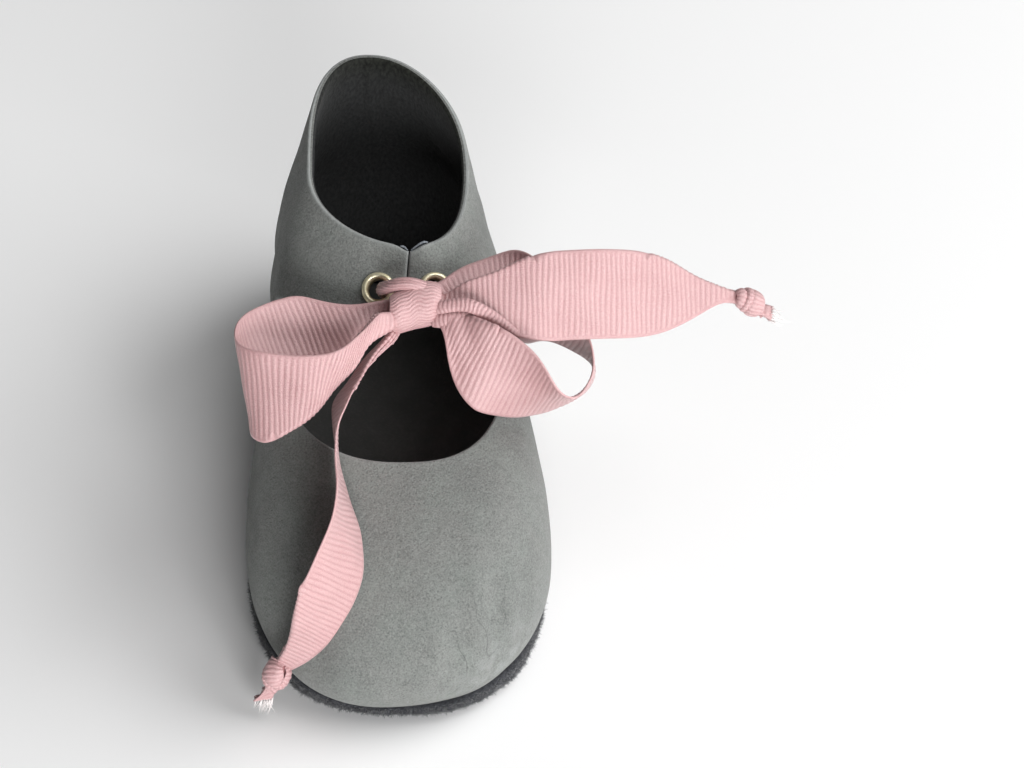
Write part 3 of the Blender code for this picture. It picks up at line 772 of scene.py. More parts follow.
def make_lining():
    make = Shader("lining_nap", 0.95, Sheen_Weight=0.05, Sheen_Roughness=0.5, Specular_IOR_Level=0.05)
    nap = make.patch(0.5, 4, 0.3, 0.75, (1.0, 1.0, 0.5))
    plain = make.mix(nap, (0.018, 0.018, 0.019), (0.042, 0.043, 0.043))
    plain = make.tinted(plain, (make.patch(5), 0.4, (0.024, 0.025, 0.024)))
    # painted light: a greener tone on the lining just under the rim, on the side that faces the light
    rim_light_tint = make.mix(nap, (0.008, 0.0083, 0.0075), (0.032, 0.034, 0.028))
    make.feed("Base Color", make.mix(make.mark("rim_light_tint"), plain, rim_light_tint))
    make.bump((nap, 0.08))
    return make.material


def make_lining_edge():
    make = Shader("lining_edge", 0.8, Specular_IOR_Level=0.25)
    fibre = make.patch(0.4)
    # pale bluish grey, far lighter than the lining: a painted highlight on the lining's edge by the lip
    make.feed("Base Color", make.mix(fibre, (0.150, 0.165, 0.190), (0.290, 0.310, 0.335)))
    make.bump((fibre, 0.06))
    return make.material


def make_cut_edge():
    make = Shader("cut_edge", 0.9, Sheen_Weight=0.2, Sheen_Roughness=0.5, Specular_IOR_Level=0.2)
    fibre = make.patch(0.35, 4, 0.25, 0.75)
    make.feed("Base Color", make.mix(fibre, (0.08, 0.084, 0.080), (0.21, 0.215, 0.205)))
    make.bump((fibre, 0.12))
    return make.material


def make_suede():
    make = Shader("suede", 0.95, Sheen_Weight=0.15, Sheen_Roughness=0.5, Specular_IOR_Level=0.1)
    nap = make.patch(0.5, 4, 0.25, 0.75)
    colour = make.mix(nap, (0.014, 0.015, 0.018), (0.085, 0.088, 0.098))
    make.feed("Base Color", make.tinted(colour, (make.patch(4), 0.45, (0.03, 0.031, 0.036))))
    make.bump((nap, 0.3), (make.noise(1.6), 0.2))
    return make.material


def make_fuzz():
    make = Shader("suede_fuzz", 0.9, Sheen_Weight=0.2, Sheen_Roughness=0.5, Specular_IOR_Level=0.1)
    tone = make.patch(1.1, 2)
    root = make.mix(tone, (0.022, 0.023, 0.027), (0.07, 0.073, 0.08))
    tip = make.mix(tone, (0.13, 0.135, 0.145), (0.36, 0.365, 0.37))
    make.feed("Base Color", make.mix(make.mark("tip"), root, tip))
    return make.material


def make_insole_leather():
    make = Shader("insole_leather", 0.6, Specular_IOR_Level=0.35)
    grain = make.spread(make.cells(0.6), 0.0, 0.6)
    patch = make.patch(9)
    colour = make.mix(patch, (0.170, 0.173, 0.168), (0.250, 0.253, 0.245))
    make.feed("Base Color", make.tinted(colour, (grain, 0.35, (0.130, 0.132, 0.128))))
    make.feed("Roughness", make.spread(patch, 0, 1, 0.5, 0.7))
    make.bump((grain, 0.05), (make.noise(6), 0.2))
    return make.material


def make_brass():
    make = Shader("aged_brass", 0.35, Metallic=0.7)
    tarnish = make.patch(1.4, 4, 0.4, 0.75)
    make.feed("Base Color", make.mix(tarnish, (0.95, 0.88, 0.64), (0.60, 0.54, 0.33)))
    make.feed("Roughness", make.spread(tarnish, 0, 1, 0.34, 0.55))
    make.bump((make.noise(0.8), 0.03))
    return make.material


def make_grosgrain():
    make = Shader("grosgrain", 0.5, Sheen_Weight=0.22, Sheen_Roughness=0.35, Specular_IOR_Level=0.85)
    thread = make.patch(0.2, 2)
    colour = make.mix(make.patch(6, 2), (0.500, 0.262, 0.267), (0.560, 0.312, 0.317))
    colour = make.tinted(colour, (thread, 0.45, (0.78, 0.60, 0.60)))
    # the ribs' grooves are painted darker: painted shade
    groove_shade = make.spread(make.mark("groove_shade"), 0, 2)
    make.feed("Base Color", make.mix(groove_shade, colour, (0.34, 0.135, 0.14)))
    make.feed("Roughness", make.spread(thread, 0, 1, 0.34, 0.52))
    make.bump((thread, 0.05))
    return make.material


def make_thread():
    make = Shader("white_thread", 0.7, Sheen_Weight=0.2)
    make.feed("Base Color", make.mix(make.noise(0.5, 2), (0.80, 0.73, 0.72), (0.92, 0.90, 0.89)))
    return make.material


# Upper

def upper_grid():
    """Angles, rises and quads of the upper's surface, finer towards its cut edges."""
    steps = np.array(EDGE_STEPS)
    reach = np.arange(1, VAMP_ROWS + 1) / VAMP_ROWS
    share_low = np.concatenate(((0,), reach[:-1], 1 - steps[::-1][1:] / VAMP_REACH))
    share_low = np.unique(np.round(share_low, 6))
    ends = steps / STRAP_HEIGHT
    middle = np.linspace(ends[-1], 1 - ends[-1], STRAP_ROWS)
    share_high = np.concatenate((ends[:-1], middle, 1 - ends[::-1][1:]))
    front = CORNER_ANGLE * np.sin(np.linspace(0, np.pi / 2, THROAT_COLUMNS + 1))
    rear = np.linspace(CORNER_ANGLE, 180, QUARTER_COLUMNS + 1)[1:]
    half = np.concatenate((front, rear))
    low = np.radians(np.concatenate((half, -half[-2:0:-1])))
    seam = SEAM_HALF_GAP + steps[:-1] / SEAM_DEGREE
    strap_front = np.concatenate((seam, front[front > seam[-1] + SEAM_MARGIN][:-1]))
    shared = np.flatnonzero(np.abs(low) >= math.radians(CORNER_ANGLE) - SMALL_STEP)
    high = np.concatenate((np.radians(strap_front), low[shared], -np.radians(strap_front[::-1])))
    first = len(strap_front)
    low_index = np.arange(len(share_low) * len(low)).reshape(len(share_low), len(low))
    low_angle, low_share = np.meshgrid(low, share_low)
    low_rise = edge_rise(low_angle, THROAT_RISE, THROAT_POWER) * low_share
    high_angle, high_share = np.meshgrid(high, share_high)
    foot = edge_rise(high_angle, STRAP_RISE, STRAP_POWER)
    high_rise = foot + (collar_rise(high_angle) - foot) * high_share
    high_index = low_index.size + np.arange(high_angle.size).reshape(high_angle.shape)
    high_index[0, first:first + len(shared)] = low_index[-1, shared]
    angle = np.concatenate((low_angle.ravel(), high_angle.ravel()))
    rise = np.concatenate((low_rise.ravel(), high_rise.ravel()))
    faces = np.concatenate((quads(looped(low_index)), quads(high_index)))
    used = np.unique(faces)
    renumber = np.zeros(len(angle), int)
    renumber[used] = np.arange(len(used))
    return angle[used], rise[used], renumber[faces]


def free_edges(faces):
    """Edges that only one face has, in that face's direction."""
    edges = np.concatenate([faces[:, (i, (i + 1) % 4)] for i in range(4)])
    key = edges[:, 0].astype(np.int64) * (faces.max() + 1) + edges[:, 1]
    back = edges[:, 1].astype(np.int64) * (faces.max() + 1) + edges[:, 0]
    return edges[~np.isin(key, back)]


def crease_depth(points):
    """How far in the leather is pressed at each point by its creases."""
    total = np.zeros(len(points))
    every = np.arange(len(points))
    for angle_a, rise_a, angle_b, rise_b, depth, width in CREASES:
        line = last_point(np.radians(np.linspace(angle_a, angle_b, CREASE_STEPS)),
                          np.linspace(rise_a, rise_b, CREASE_STEPS))
        leg = np.diff(line, axis=0)
        gap = points[:, None] - line[None, :-1]
        share = np.clip(np.sum(gap * leg, axis=2) / np.sum(leg * leg, axis=1), 0, 1)
        reach = np.linalg.norm(gap - leg * share[:, :, None], axis=2)
        nearest = reach.argmin(axis=1)
        away = reach[every, nearest]
        place = (nearest + share[every, nearest]) / len(leg)
        fade = np.sin(np.pi * np.clip(place, *CREASE_ENDS)) ** CREASE_FADE
        shoulder = SHOULDER * bell(away, SHOULDER_AWAY * width, width)
        total += depth * fade * (bell(away, 0, width) - shoulder)
    return total


def lip_lift(degrees, rise):
    """How far out the collar's edge is folded beside the notch."""
    return LIP_LIFT * bell(degrees, LIP_ANGLE, LIP_SPREAD) * ramp(rise, LIP_RISE, 1) ** 2


def make_lining_edges(material):
    """Edge of the lining that stands up behind the rim, on both sides of the front seam."""
    points = []
    faces = []
    for span in LINING_EDGES:
        angle = np.radians(np.linspace(*span, LINING_STEPS))
        rise = collar_rise(angle)
        rim = last_point(angle, rise)
        out = last_normal(angle, rise)
        up = unit(rim - last_point(angle, rise - LINING_STEP))
        move = uneven(rim, *LEATHER_NOISE) + lip_lift(np.degrees(angle), rise)
        rim = rim + out * move[:, None]
        tall = np.sin(np.linspace(LINING_FADE, np.pi - LINING_FADE, LINING_STEPS))
        tall = tall + uneven(rim, *LINING_NOISE)
        sheet = np.stack([rim + out * inset + up * (height * tall)[:, None]
                          for inset, height in LINING_SECTION], axis=1)
        half = sheet_normal(sheet) * LINING_THICKNESS / 2
        skin, sides = slab(sheet + half, sheet - half)
        faces.append(sides + sum(len(part) for part in points))
        points.append(skin)
    add_piece("lining_edges", np.concatenate(points), np.concatenate(faces), (material,), "nubuck")


def edge_distance(points, edge):
    """How far each point is from the nearest point of an edge."""
    tree = kdtree.KDTree(len(edge))
    for i, point in enumerate(edge):
        tree.insert(point, i)
    tree.balance()
    return np.array([tree.find(point)[2] for point in points])


def seam_height(degrees, rise, away):
    """How far the seams stand out on the inside at the back."""
    behind = 180 - np.abs(degrees)
    wave = SOCK_WAVE * np.sin(degrees / SOCK_PITCH)
    strip = ramp(behind, *STRIP_ANGLES) * ramp(rise, *STRIP_RISES)
    sock = ramp(behind, *SOCK_ANGLES) * ramp(rise - wave, *SOCK_RISES)
    return SEAM_HEIGHT * ramp(away, *SEAM_EDGE) * np.maximum(strip, sock)


def leather_marks(points, degrees, rise, away):
    """Wear with a painted highlight at the cut edges, wrinkles whose lines get painted shade, and the painted
    light band on the lining, by point.
    """
    scuff = SCUFF * bell(degrees, *SCUFF_ANGLE) * bell(rise, *SCUFF_RISE)
    scuff = scuff * np.clip(0.5 + uneven(points, *SCUFF_NOISE), 0, 1)
    # the side of the lining that faces the light, for the painted light band under the rim
    lit = np.clip(np.cos(np.radians(degrees - RIM_LIGHT_ANGLE)), 0, 1) ** RIM_LIGHT_POWER
    return {
        # the cut edges' paleness is partly wear and partly a painted highlight; the scuffs are wear
        "wear_and_highlight": np.clip(EDGE_WEAR_AND_HIGHLIGHT * bell(away, 0, EDGE_WEAR_AND_HIGHLIGHT_REACH) + scuff, 0, 1),
        "wrinkle_and_shade": bell(degrees, *WRINKLE_ANGLE) * bell(rise, *WRINKLE_RISE),
        "rim_light_tint": bell(away, 0, RIM_LIGHT_REACH) * np.where(rise > THROAT_RISE, lit, 0.0),
    }


def make_upper(leather, edge, lining):
    """The leather shell with its lining side, its cut edges and the two holes for the eyelets."""
    angle, rise, faces = upper_grid()
    degrees = np.degrees(angle)
    outer = last_point(angle, rise)
    normal = last_normal(angle, rise)
    rim = free_edges(faces)
    away = edge_distance(outer, outer[np.unique(rim[rise[rim].min(axis=1) > SMALL_STEP])])
    rounding = EDGE_ROUND - np.sqrt(EDGE_ROUND ** 2 - np.clip(EDGE_ROUND - away, 0, EDGE_ROUND) ** 2)
    move = uneven(outer, *LEATHER_NOISE) + uneven(outer, *FINE_NOISE) * ramp(away, 0, CALM_EDGE)
    move = move - crease_depth(outer) * np.maximum(ramp(away, 0, CREASE_EDGE), CREASE_LEAST)
    move = move + lip_lift(degrees, rise)
    front = outer + normal * (move - rounding)[:, None]
    back = outer + normal * (move - LEATHER + rounding - seam_height(degrees, rise, away))[:, None]
    count = len(outer)
    sides = np.stack((rim[:, 1], rim[:, 0], rim[:, 0] + count, rim[:, 1] + count), axis=1)
    kinds = np.repeat((0, 2, 1), (len(faces), len(faces), len(sides)))
    faces = np.concatenate((faces, faces[:, ::-1] + count, sides))
    marks = {name: np.tile(values, 2) for name, values in leather_marks(outer, degrees, rise, away).items()}
    piece = add_piece("nubuck_upper", np.concatenate((front, back)), faces, (leather, edge, lining),
                      "nubuck", ("upper",), kinds, marks)
    for at in EYELET_ANGLES.values():
        drill = [turned_ring(EYELET_BARREL + GAP / 2, height, DRILL_SIDES) for height in DRILL_HEIGHTS]
        cut_hole(piece, *tube(np.stack(drill)), strap_frame(at, EYELET_RISE))


def turned_ring(radius, height, sides):
    turn = around(sides)
    return np.column_stack((radius * np.cos(turn), radius * np.sin(turn), np.full(sides, height)))


def cut_hole(piece, points, faces, place):
    """Cuts a solid, given in a frame's own millimetres, out of a piece."""
    drill = linked("drill", mesh_of("drill", placed(place, points), faces))
    cut = piece.modifiers.new("hole", "BOOLEAN")
    cut.operation = "DIFFERENCE"
    cut.solver = "EXACT"
    cut.object = drill
    ready = piece.evaluated_get(bpy.context.evaluated_depsgraph_get())
    piece.data = bpy.data.meshes.new_from_object(ready)
    piece.modifiers.clear()
    bpy.data.objects.remove(drill)


# Sole and insole

def outline(angle, outset, height):
    """The feather line in plan, moved outwards by outset, at a height."""
    level = np.zeros_like(angle)
    ahead = (last_point(angle + SMALL_STEP, level) - last_point(angle - SMALL_STEP, level))[:, :2]
    sideways = unit(np.stack((ahead[:, 1], -ahead[:, 0]), axis=1))
    plan = last_point(angle, level)[:, :2] + np.broadcast_to(outset, angle.shape)[:, None] * sideways
    return np.column_stack((plan, np.broadcast_to(height, angle.shape)))


def sole_rings(angle):
    """Rings of the sole from its flat spot round its edge into its well."""
    toe = np.clip(np.cos(angle), 0, 1) ** TOE_POWER
    arch = bell(np.degrees(angle), ARCH_ANGLE, ARCH_SPREAD)
    flat = FLAT_INSET + TOE_ROLL * toe + ARCH_INSET * arch
    lift = EDGE_LIFT + TOE_SPRING * toe + ARCH_LIFT * arch
    rim = last_point(angle, np.zeros_like(angle))[:, 2] - GAP / 2
    rings = []
    for inset, outset, lifted, climb in even_rows(SOLE_SECTION, SOLE_ROWS):
        under = np.maximum(lifted, 0) * lift
        height = under + np.maximum(climb, 0) * (rim - under)
        rings.append(outline(angle, outset * SOLE_OUTSET - inset * flat, height))
    rings.append(outline(angle, -RIM_WIDTH, rim))
    rings += [outline(angle, -RIM_WIDTH - inset, SUEDE + height) for inset, height in WELL_SECTION]
    return np.stack(rings)


def make_sole(suede, fuzz):
    """The sole with its ragged edge, and the fuzz on that edge."""
    angle = np.linspace(-np.pi, np.pi, OUTLINE_COLUMNS, endpoint=False)
    rings = sole_rings(angle)
    edge = slice(SOLE_ROWS // 2, SOLE_ROWS)
    ragged = sum(uneven(rings[edge], *noise) for noise in SUEDE_NOISES)
    sideways = outline(angle, 1, 0) - outline(angle, 0, 0)
    rings[edge] += sideways[None] * ragged[:, :, None]
    add_piece("suede_sole", *tube(rings), (suede,), "suede", ("sole",))
    random = np.random.default_rng(FIBRE_SEED)
    row = random.integers(SOLE_ROWS // 2, SOLE_ROWS - 1, FIBRES)
    column = random.integers(0, OUTLINE_COLUMNS, FIBRES)
    way = unit(sideways[column]) + random.normal(0, FIBRE_STRAY, (FIBRES, 3)) + (0, 0, FIBRE_RISE)
    root = rings[row, column]
    add_fibres("suede_fuzz", root, unit(way), FIBRE_LENGTHS, FIBRE_RADIUS, random, fuzz, "suede")


def add_fibres(name, root, way, lengths, thick, random, material, slot):
    """Short bent tapering hairs from their roots, as one mesh."""
    count = len(root)
    length = random.uniform(*lengths, count) * random.uniform(*HAIR_LENGTHS, count)
    side = unit(np.cross(way, random.normal(size=(count, 3))))
    other = np.cross(way, side)
    bend = side * (length * random.normal(0, HAIR_BEND, count))[:, None]
    rings = []
    for share, width in HAIR_SECTION:
        middle = root + way * (length * share)[:, None] + bend * share ** 2
        radius = thick * width * random.uniform(*HAIR_WIDTHS, count)[:, None]
        rings.append([middle + radius * (np.cos(turn) * side + np.sin(turn) * other)
                      for turn in around(HAIR_SIDES)])
    points = np.transpose(rings, (2, 0, 1, 3))
    index = np.arange(points[..., 0].size).reshape(points.shape[:3])
    skin = index[:, 0, ::-1].tolist() + index[:, -1].tolist()
    for low, high in zip(index.swapaxes(0, 1)[:-1], index.swapaxes(0, 1)[1:]):
        for c in range(HAIR_SIDES):
            skin += np.stack((low[:, c - 1], low[:, c], high[:, c], high[:, c - 1]), axis=1).tolist()
    tip = np.tile(np.repeat(HAIR_TIP, HAIR_SIDES), count)
    return add_piece(name, points.reshape(-1, 3), skin, (material,), slot, marks={"tip": tip})


def make_insole(leather):
    angle = np.linspace(-np.pi, np.pi, OUTLINE_COLUMNS // 2, endpoint=False)
    rings = [outline(angle, -INSOLE_INSET - inset, SUEDE + GAP + share * INSOLE_THICKNESS)
             for inset, share in INSOLE_SECTION]
    add_piece("insole_sheet", *tube(np.stack(rings)), (leather,), "insole_leather", ("insole",))


# Eyelets

def frame_of(x, y, z, middle):
    """Frame with these axes and this middle."""
    place = Matrix((x, y, z)).transposed().to_4x4()
    place.translation = middle
    return place


def strap_frame(angle_degrees, rise):
    """Frame on the leather's outside: its z axis stands out from it, its y axis points up along it."""
    angle = np.radians([angle_degrees])
    rise = np.array([rise])
    out = Vector(last_normal(angle, rise)[0])
    up = Vector((0, 0, 1)) - out * out.z
    up.normalize()
    return frame_of(up.cross(out), up, out, Vector(last_point(angle, rise)[0]))


def placed(place, points):
    turn = np.array(place.to_3x3())
    return np.asarray(points) @ turn.T + np.array(place.translation)


def make_eyelet(name, brass):
    place = strap_frame(EYELET_ANGLES[name], EYELET_RISE)
    rings = np.stack([turned_ring(radius, height, EYELET_SIDES) for radius, height in EYELET_PROFILE])
    rings = rings * (1 + uneven(rings, *EYELET_NOISE)[:, :, None])
    points, faces = tube(rings, closed_round=True)
    add_piece(name + "_ring", placed(place, points), faces, (brass,), "brass", (name,))


# Ribbon

def bow_frame():
    """Frame of the bow at the knot's middle: x to the lateral side, y up along the strap, z out from it."""
    place = strap_frame(0, KNOT_RISE)
    out = place.to_3x3() @ Vector((0, 0, 1))
    out.x = 0
    out.normalize()
    right = Vector((1, 0, 0))
    middle = place.translation + right * KNOT_RIGHT + out * KNOT_OUT
    return frame_of(right, out.cross(right), out, middle)


def ribbon_rows(rows):
    """Rows that start with a ribbon's middle, read at even steps along it, so many to a rib."""
    folds = distances(np.array(rows)[:, :3])
    return even_rows(rows, int(folds[-1] / RIB_PITCH * RIB_STATIONS), folds)


def folded(width, edge):
    """How far across and out the ribbon's strands are where its cut width is folded flat to a width."""
    width = width[:, None]
    count = FOLD_SAMPLES * RIBBON_STRANDS
    layer = np.linspace(0, RIBBON_WIDTH, count + 1)[None] / width
    across = width * (np.abs(layer % 2 - 1) - 0.5)
    half = int(FOLD_ROUND / RIBBON_WIDTH * count / 2)
    places = []
    for values in (across, FOLD_GAP * np.maximum(np.ceil(layer) - 1, 0)):
        padded = np.pad(values, ((0, 0), (half + 1, half)), "reflect", reflect_type="odd")
        total = np.cumsum(padded, axis=1)
        smoothed = (total[:, 2 * half + 1:] - total[:, :-2 * half - 1]) / (2 * half + 1)
        places.append(smoothed[:, ::FOLD_SAMPLES])
    across, depth = places
    spare = (RIBBON_WIDTH - width) / FOLD_LEAST
    depth = depth * np.clip(spare, 0, 1) ** 2
    share = np.clip(spare - 1, 0, 1)
    across = share * across + (1 - share) * width * np.linspace(0.5, -0.5, RIBBON_STRANDS + 1)
    low = across.min(axis=1, keepdims=True)
    across = ((across - low) / (across.max(axis=1, keepdims=True) - low) - 0.5) * width
    upper = (np.clip(edge, -1, 1)[:, None] + 1) / 2
    return upper * across[:, ::-1] - (1 - upper) * across, upper * depth[:, ::-1] + (1 - upper) * depth


def ribbon_skin(middle, across, spread, lift, place, seed):
    """Points, quads and painted groove shade of a ribbed ribbon along its middle, its strands spread across
    and lifted.
    """
    ahead = unit(np.gradient(middle, axis=0))
    across = unit(across)
    face = unit(np.cross(ahead, across))
    sheet = middle[:, None] + across[:, None] * spread[:, :, None] + face[:, None] * lift[:, :, None]
    sheet = placed(place, sheet)
    normal = sheet_normal(sheet)
    sheet = sheet + normal * uneven(sheet, *RIBBON_NOISE, seed)[:, :, None]
    station = np.arange(len(middle))[:, None] / RIB_STATIONS
    wander = RIB_WANDER * np.sin(WANDER_ALONG * station + WANDER_ACROSS * STRAND[None])
    ridge = np.abs(np.cos(np.pi * (station + wander)))
    ridge[:, (0, 1, -2, -1)] = SELVEDGE_RIDGE
    thick = RIBBON_HALF + RIB_HEIGHT * (ridge - 0.5)
    thick[:, (0, -1)] *= SELVEDGE_THIN
    points, faces = slab(sheet + normal * thick[:, :, None], sheet - normal * thick[:, :, None])
    # painted shade in the grooves between the ribs
    groove_shade = (1 - ridge) ** GROOVE_SHADE_POWER
    groove_shade[:, (1, -2)] = SELVEDGE_SHADE
    return points, faces.tolist(), np.tile(groove_shade.ravel(), 2)


def band_skin(line, width, outward, droop, place, seed):
    """Skin of a narrow band of ribbon along a line, its edges drooping away from the outward side."""
    folds = distances(line)
    count = int(folds[-1] / BAND_PITCH * RIB_STATIONS)
    table = np.column_stack((line, outward, width))
    even = np.column_stack([np.interp(np.linspace(0, folds[-1], count), folds, values) for values in table.T])
    line, outward, width = even[:, :3], even[:, 3:6], even[:, 6:]
    across = np.cross(outward, unit(np.gradient(line, axis=0)))
    lift = np.tile(-droop * np.abs(STRAND) ** DROOP_POWER, (count, 1))
    return ribbon_skin(line, across, width / 2 * STRAND[None], lift, place, seed)


def add_ribbon(name, parts, ribbon, replaced=()):
    """A piece of ribbon from parts of points, faces and painted groove shade."""
    points, faces, groove_shades = zip(*parts)
    start = np.cumsum([0] + [len(part) for part in points])
    faces = [[corner + first for corner in face] for first, part in zip(start, faces) for face in part]
    marks = {"groove_shade": np.concatenate(groove_shades)}
    return add_piece(name, np.concatenate(points), faces, (ribbon,), "grosgrain", replaced, marks=marks)


def folded_ribbon(table, across, gathered, place, seed):
    """Skin of a ribbon that is folded flat where it is narrow, with ripples of the gathered depth.

    table: rows of its middle in three columns, width, edge and side.
    """
    width, edge, side = table[:, 3:].T
    spread, depth = folded(np.clip(width, NARROWEST, RIBBON_WIDTH), edge)
    ripple = gathered[:, None] * np.cos(np.pi * RIPPLE_COUNT * STRAND + RIPPLE_PHASE)[None]
    lift = ripple - depth * np.clip(side, -1, 1)[:, None]
    return ribbon_skin(table[:, :3], across, spread, lift, place, seed)


def make_half(name, rows, replaced, ribbon):
    """One half of the bow as one length of ribbon: its loop, its way through the knot and its tail."""
    table = ribbon_rows(rows)
    middle = table[:, :3]
    cant, tilt = np.radians(table[:, 4:6].T)
    across = np.column_stack((np.sin(cant) * np.cos(tilt), np.cos(cant) * np.cos(tilt), np.sin(tilt)))
    gathered = RIPPLE_DEPTH * bell(np.linalg.norm(middle[:, :2], axis=1), 0, RIPPLE_REACH)
    skin = folded_ribbon(np.delete(table, (4, 5), axis=1), across, gathered, bow_frame(), len(rows))
    piece = add_ribbon(name, [skin], ribbon, replaced)
    route = placed(bow_frame(), middle) * MILLIMETRE


def wrap_wave(across, turn, depth, pitch, shift, bend, lead):
    """A wave across the wrap that bends on its way round."""
    return depth * np.sin(2 * np.pi * (across + shift) / pitch + bend * np.cos(turn + lead))


def make_wrap(ribbon):
    """The ribbon's turn round the middle of the bow, and the folds beside it."""
    section = np.array(KNOT_SECTION)
    right = np.linspace(section[0, 0], section[-1, 0], WRAP_ROWS)
    girth = smooth(section[:, 0], section[:, 1:], right)
    turn, across = np.meshgrid(around(WRAP_RIBS * WRAP_RIB_SIDES), right)
    sway = sum(wrap_wave(across, turn, *wave) for wave in WRAP_SWAYS)
    ridge = np.abs(np.cos(WRAP_RIBS / 2 * (turn + sway / WRAP_RADIUS)))
    drum = np.stack((across, WRAP_NOISE_RADIUS * np.cos(turn), WRAP_NOISE_RADIUS * np.sin(turn)), axis=2)
    fold = wrap_wave(across, turn, *WRAP_FOLD) + uneven(drum, *WRAP_NOISE)
    size = girth + (fold + WRAP_RIB * RIB_HEIGHT * (ridge - 0.5)) / WRAP_RADIUS
    up = size * KNOT_HALF_HEIGHT * np.cos(turn) + WRAP_SLOPE * across
    rings = np.stack((across, up, size * KNOT_HALF_DEPTH * np.sin(turn)), axis=2)
    rings = np.concatenate((rings[:1] * WRAP_END, rings, rings[-1:] * WRAP_END))
    # painted shade in the grooves between the wrap's ribs
    groove_shade = (1 - ridge) ** GROOVE_SHADE_POWER
    groove_shade = np.concatenate((groove_shade[:1], groove_shade, groove_shade[-1:])).ravel()
    parts = [(*tube(placed(bow_frame(), rings)), groove_shade)]
    for seed, rows in enumerate(TUCKS):
        table = even_rows(rows, BAND_STEPS)
        outward = np.broadcast_to((0.0, 0.0, 1.0), (BAND_STEPS, 3))
        parts.append(band_skin(table[:, :3], table[:, 3], outward, TUCK_DROOP, bow_frame(), seed))
    return add_ribbon("ribbon_wrap", parts, ribbon, ("ribbon_knot",))


def bar_side(name):
    """Route of the gathered ribbon on one side, from the knot in through an eyelet and on to the middle."""
    place = strap_frame(EYELET_ANGLES[name], EYELET_RISE)
    inward = -math.copysign(1, EYELET_ANGLES[name])
    inside = [(shift * inward, 0, height) for height, shift in BAR_SECTION]
    return np.concatenate((placed(bow_frame(), BAR_ENDS[name]), placed(place, inside)))


def make_bar(ribbon):
    """The ribbon, gathered to a cord, that ties the two halves of the strap through their eyelets."""
    medial, lateral = (bar_side(name) for name in EYELET_ANGLES)
    route = np.concatenate((medial, lateral[::-1]))
    middle = ribbon_rows(route)
    ahead = unit(np.gradient(middle, axis=0))
    side = unit(np.cross(ahead, BAR_ACROSS))
    other = np.cross(ahead, side)
    turn = around(BAR_SIDES)[None]
    station = np.arange(len(middle))[:, None] / RIB_STATIONS
    drift = turn + sum(depth * np.sin(pace * station) for depth, pace in BAR_DRIFTS)
    ridge = np.abs(np.cos(BAR_RIBS / 2 * drift))
    pleat = np.abs(np.sin(BAR_PLEATS * turn + BAR_TWIST * station))
    radius = BAR_RADIUS * (BAR_WALL + BAR_PLEAT * pleat) + RIB_HEIGHT * (ridge - 0.5)
    ring = np.cos(turn)[:, :, None] * side[:, None] + np.sin(turn)[:, :, None] * other[:, None]
    rings = middle[:, None] + radius[:, :, None] * ring
    # painted shade in the ribs' grooves and in the pleats' folds
    groove_shade = np.maximum((1 - ridge) ** GROOVE_SHADE_POWER, PLEAT_SHADE * np.clip(1 - PLEAT_SHARP * pleat, 0, 1))
    add_ribbon("ribbon_strand", [(*tube(rings), groove_shade.ravel())], ribbon, ("ribbon_bar",))


def axis_frame(middle, axis):
    """Frame on the bow with its z axis along the given one and its x axis turned outwards."""
    along = Vector(axis).normalized()
    out = Vector((0, 0, 1))
    out = (out - along * out.dot(along)).normalized()
    return bow_frame() @ frame_of(out, along.cross(out), along, Vector(middle))


def core_radius(share):
    girth = (1 - np.abs(np.clip(share, -1, 1)) ** END_POWER) ** (1 / END_POWER)
    return np.maximum(END_RADIUS * girth, CORE_LEAST)


def knot_band(rows, place, seed):
    """One band of ribbon laid round an end knot's core."""
    turn, share, lift, width = even_rows(rows, BAND_STEPS).T
    turn = np.radians(turn)
    away = core_radius(share) + lift
    line = np.column_stack((away * np.cos(turn), away * np.sin(turn), END_HALF * share))
    outward = unit(line / (END_RADIUS ** 2, END_RADIUS ** 2, END_HALF ** 2))
    return band_skin(line, width, outward, END_DROOP, place, seed)


def make_end_knot(name, ribbon, thread):
    """The knot near a ribbon's end, the cut end beyond it and the threads that fray from it."""
    place = axis_frame(*END_KNOTS[name])
    title = name.replace("end_knot", "tied")
    share = np.linspace(-1, 1, CORE_RINGS)
    rings = [turned_ring(*size, CORE_SIDES) for size in zip(core_radius(share), END_HALF * share)]
    points, faces = tube(np.stack(rings))
    # the core is painted dark: painted shade in the gaps between the bands
    parts = [(placed(place, points), faces, np.full(len(points), CORE_SHADE))]
    parts += [knot_band(rows, place, seed) for seed, rows in enumerate(END_BANDS[name])]
    knot = add_ribbon(title + "_knot", parts, ribbon, (name,))
    table = ribbon_rows(FLARES[name])
    count = len(table)
    across = np.broadcast_to(FLARE_ACROSS, (count, 3))
    skin = folded_ribbon(table, across, np.full(count, FLARE_RIPPLE), place, FLARE_SEED)
    flare = add_ribbon(title + "_cut", [skin], ribbon)
    random = np.random.default_rng(len(name))
    edge = skin[0][(count - 1) * len(STRAND):count * len(STRAND)]
    spot = random.choice(THREAD_SPOTS, THREADS[name]) + random.normal(0, SPOT_STRAY, THREADS[name])
    root = edge[np.clip(spot * len(edge), 0, len(edge) - 1).astype(int)]
    way = np.array(place.to_3x3() @ Vector((0, 0, 1))) + random.normal(0, THREAD_STRAY, (len(root), 3))
    frays = add_fibres(title + "_threads", root, unit(way), THREAD_LENGTHS, THREAD_RADIUS, random, thread,
                       "grosgrain")
    return [knot, flare, frays]


# Stage

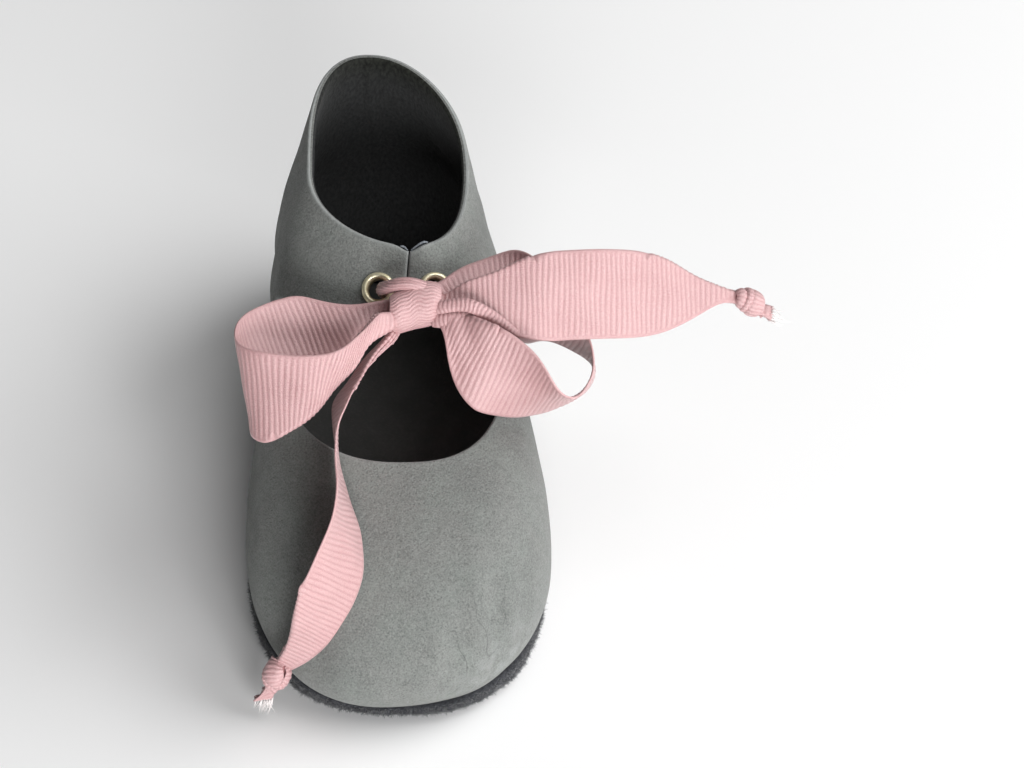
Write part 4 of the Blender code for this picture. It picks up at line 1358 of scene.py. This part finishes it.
def make_floor():
    corners = [(x * FLOOR_REACH, y * FLOOR_REACH, 0) for x, y in ((-1, -1), (1, -1), (1, 1), (-1, 1))]
    mesh = mesh_of("floor", corners, [(0, 1, 2, 3)])
    make = Shader("floor", 0.9, Specular_IOR_Level=0.1, Base_Color=FLOOR_COLOUR)
    mesh.materials.append(make.material)
    linked("floor", mesh)


def add_light(name, place, size, power):
    light = bpy.data.lights.new(name, "AREA")
    light.shape = "DISK"
    light.size = size
    light.energy = power
    lamp = linked(name, light)
    lamp.location = place
    lamp.rotation_euler = (Vector(LIGHT_TARGET) - Vector(place)).to_track_quat("-Z", "Y").to_euler()


def set_stage():
    make_floor()
    scene = bpy.context.scene
    world = bpy.data.worlds.new("studio")
    world.use_nodes = True
    sky = world.node_tree.nodes["Background"].inputs
    sky["Color"].default_value = WORLD_COLOUR
    sky["Strength"].default_value = WORLD_STRENGTH
    scene.world = world
    for name, light in LIGHTS.items():
        add_light(name, *light)
    scene.view_settings.view_transform = "Standard"
    lens = bpy.data.cameras.new("camera")
    lens.lens = LENS
    lens.clip_start = NEAREST
    camera = linked("camera", lens)
    sight = Vector(SIGHT).normalized()
    right = sight.cross(Vector(PICTURE_UP)).normalized()
    camera.location = Vector(EYE) * MILLIMETRE
    camera.rotation_euler = Matrix((right, right.cross(sight), -sight)).transposed().to_euler()
    scene.camera = camera


def main():
    ribbon = make_grosgrain()
    thread = make_thread()
    set_stage()
    ends = {name: make_end_knot(name, ribbon, thread) for name in END_KNOTS}
    wrap = make_wrap(ribbon)
    make_half("ribbon_half_medial", LOOP_MEDIAL + TAIL_LATERAL,
              ("ribbon_loop_medial", "ribbon_tail_lateral"),
              ribbon)
    make_half("ribbon_half_lateral", LOOP_LATERAL + TAIL_MEDIAL,
              ("ribbon_loop_lateral", "ribbon_tail_medial"), ribbon)
    make_bar(ribbon)
    make_upper(make_nubuck(), make_cut_edge(), make_lining())
    make_lining_edges(make_lining_edge())
    make_sole(make_suede(), make_fuzz())
    make_insole(make_insole_leather())
    brass = make_brass()
    for name in EYELET_ANGLES:
        make_eyelet(name, brass)


main()
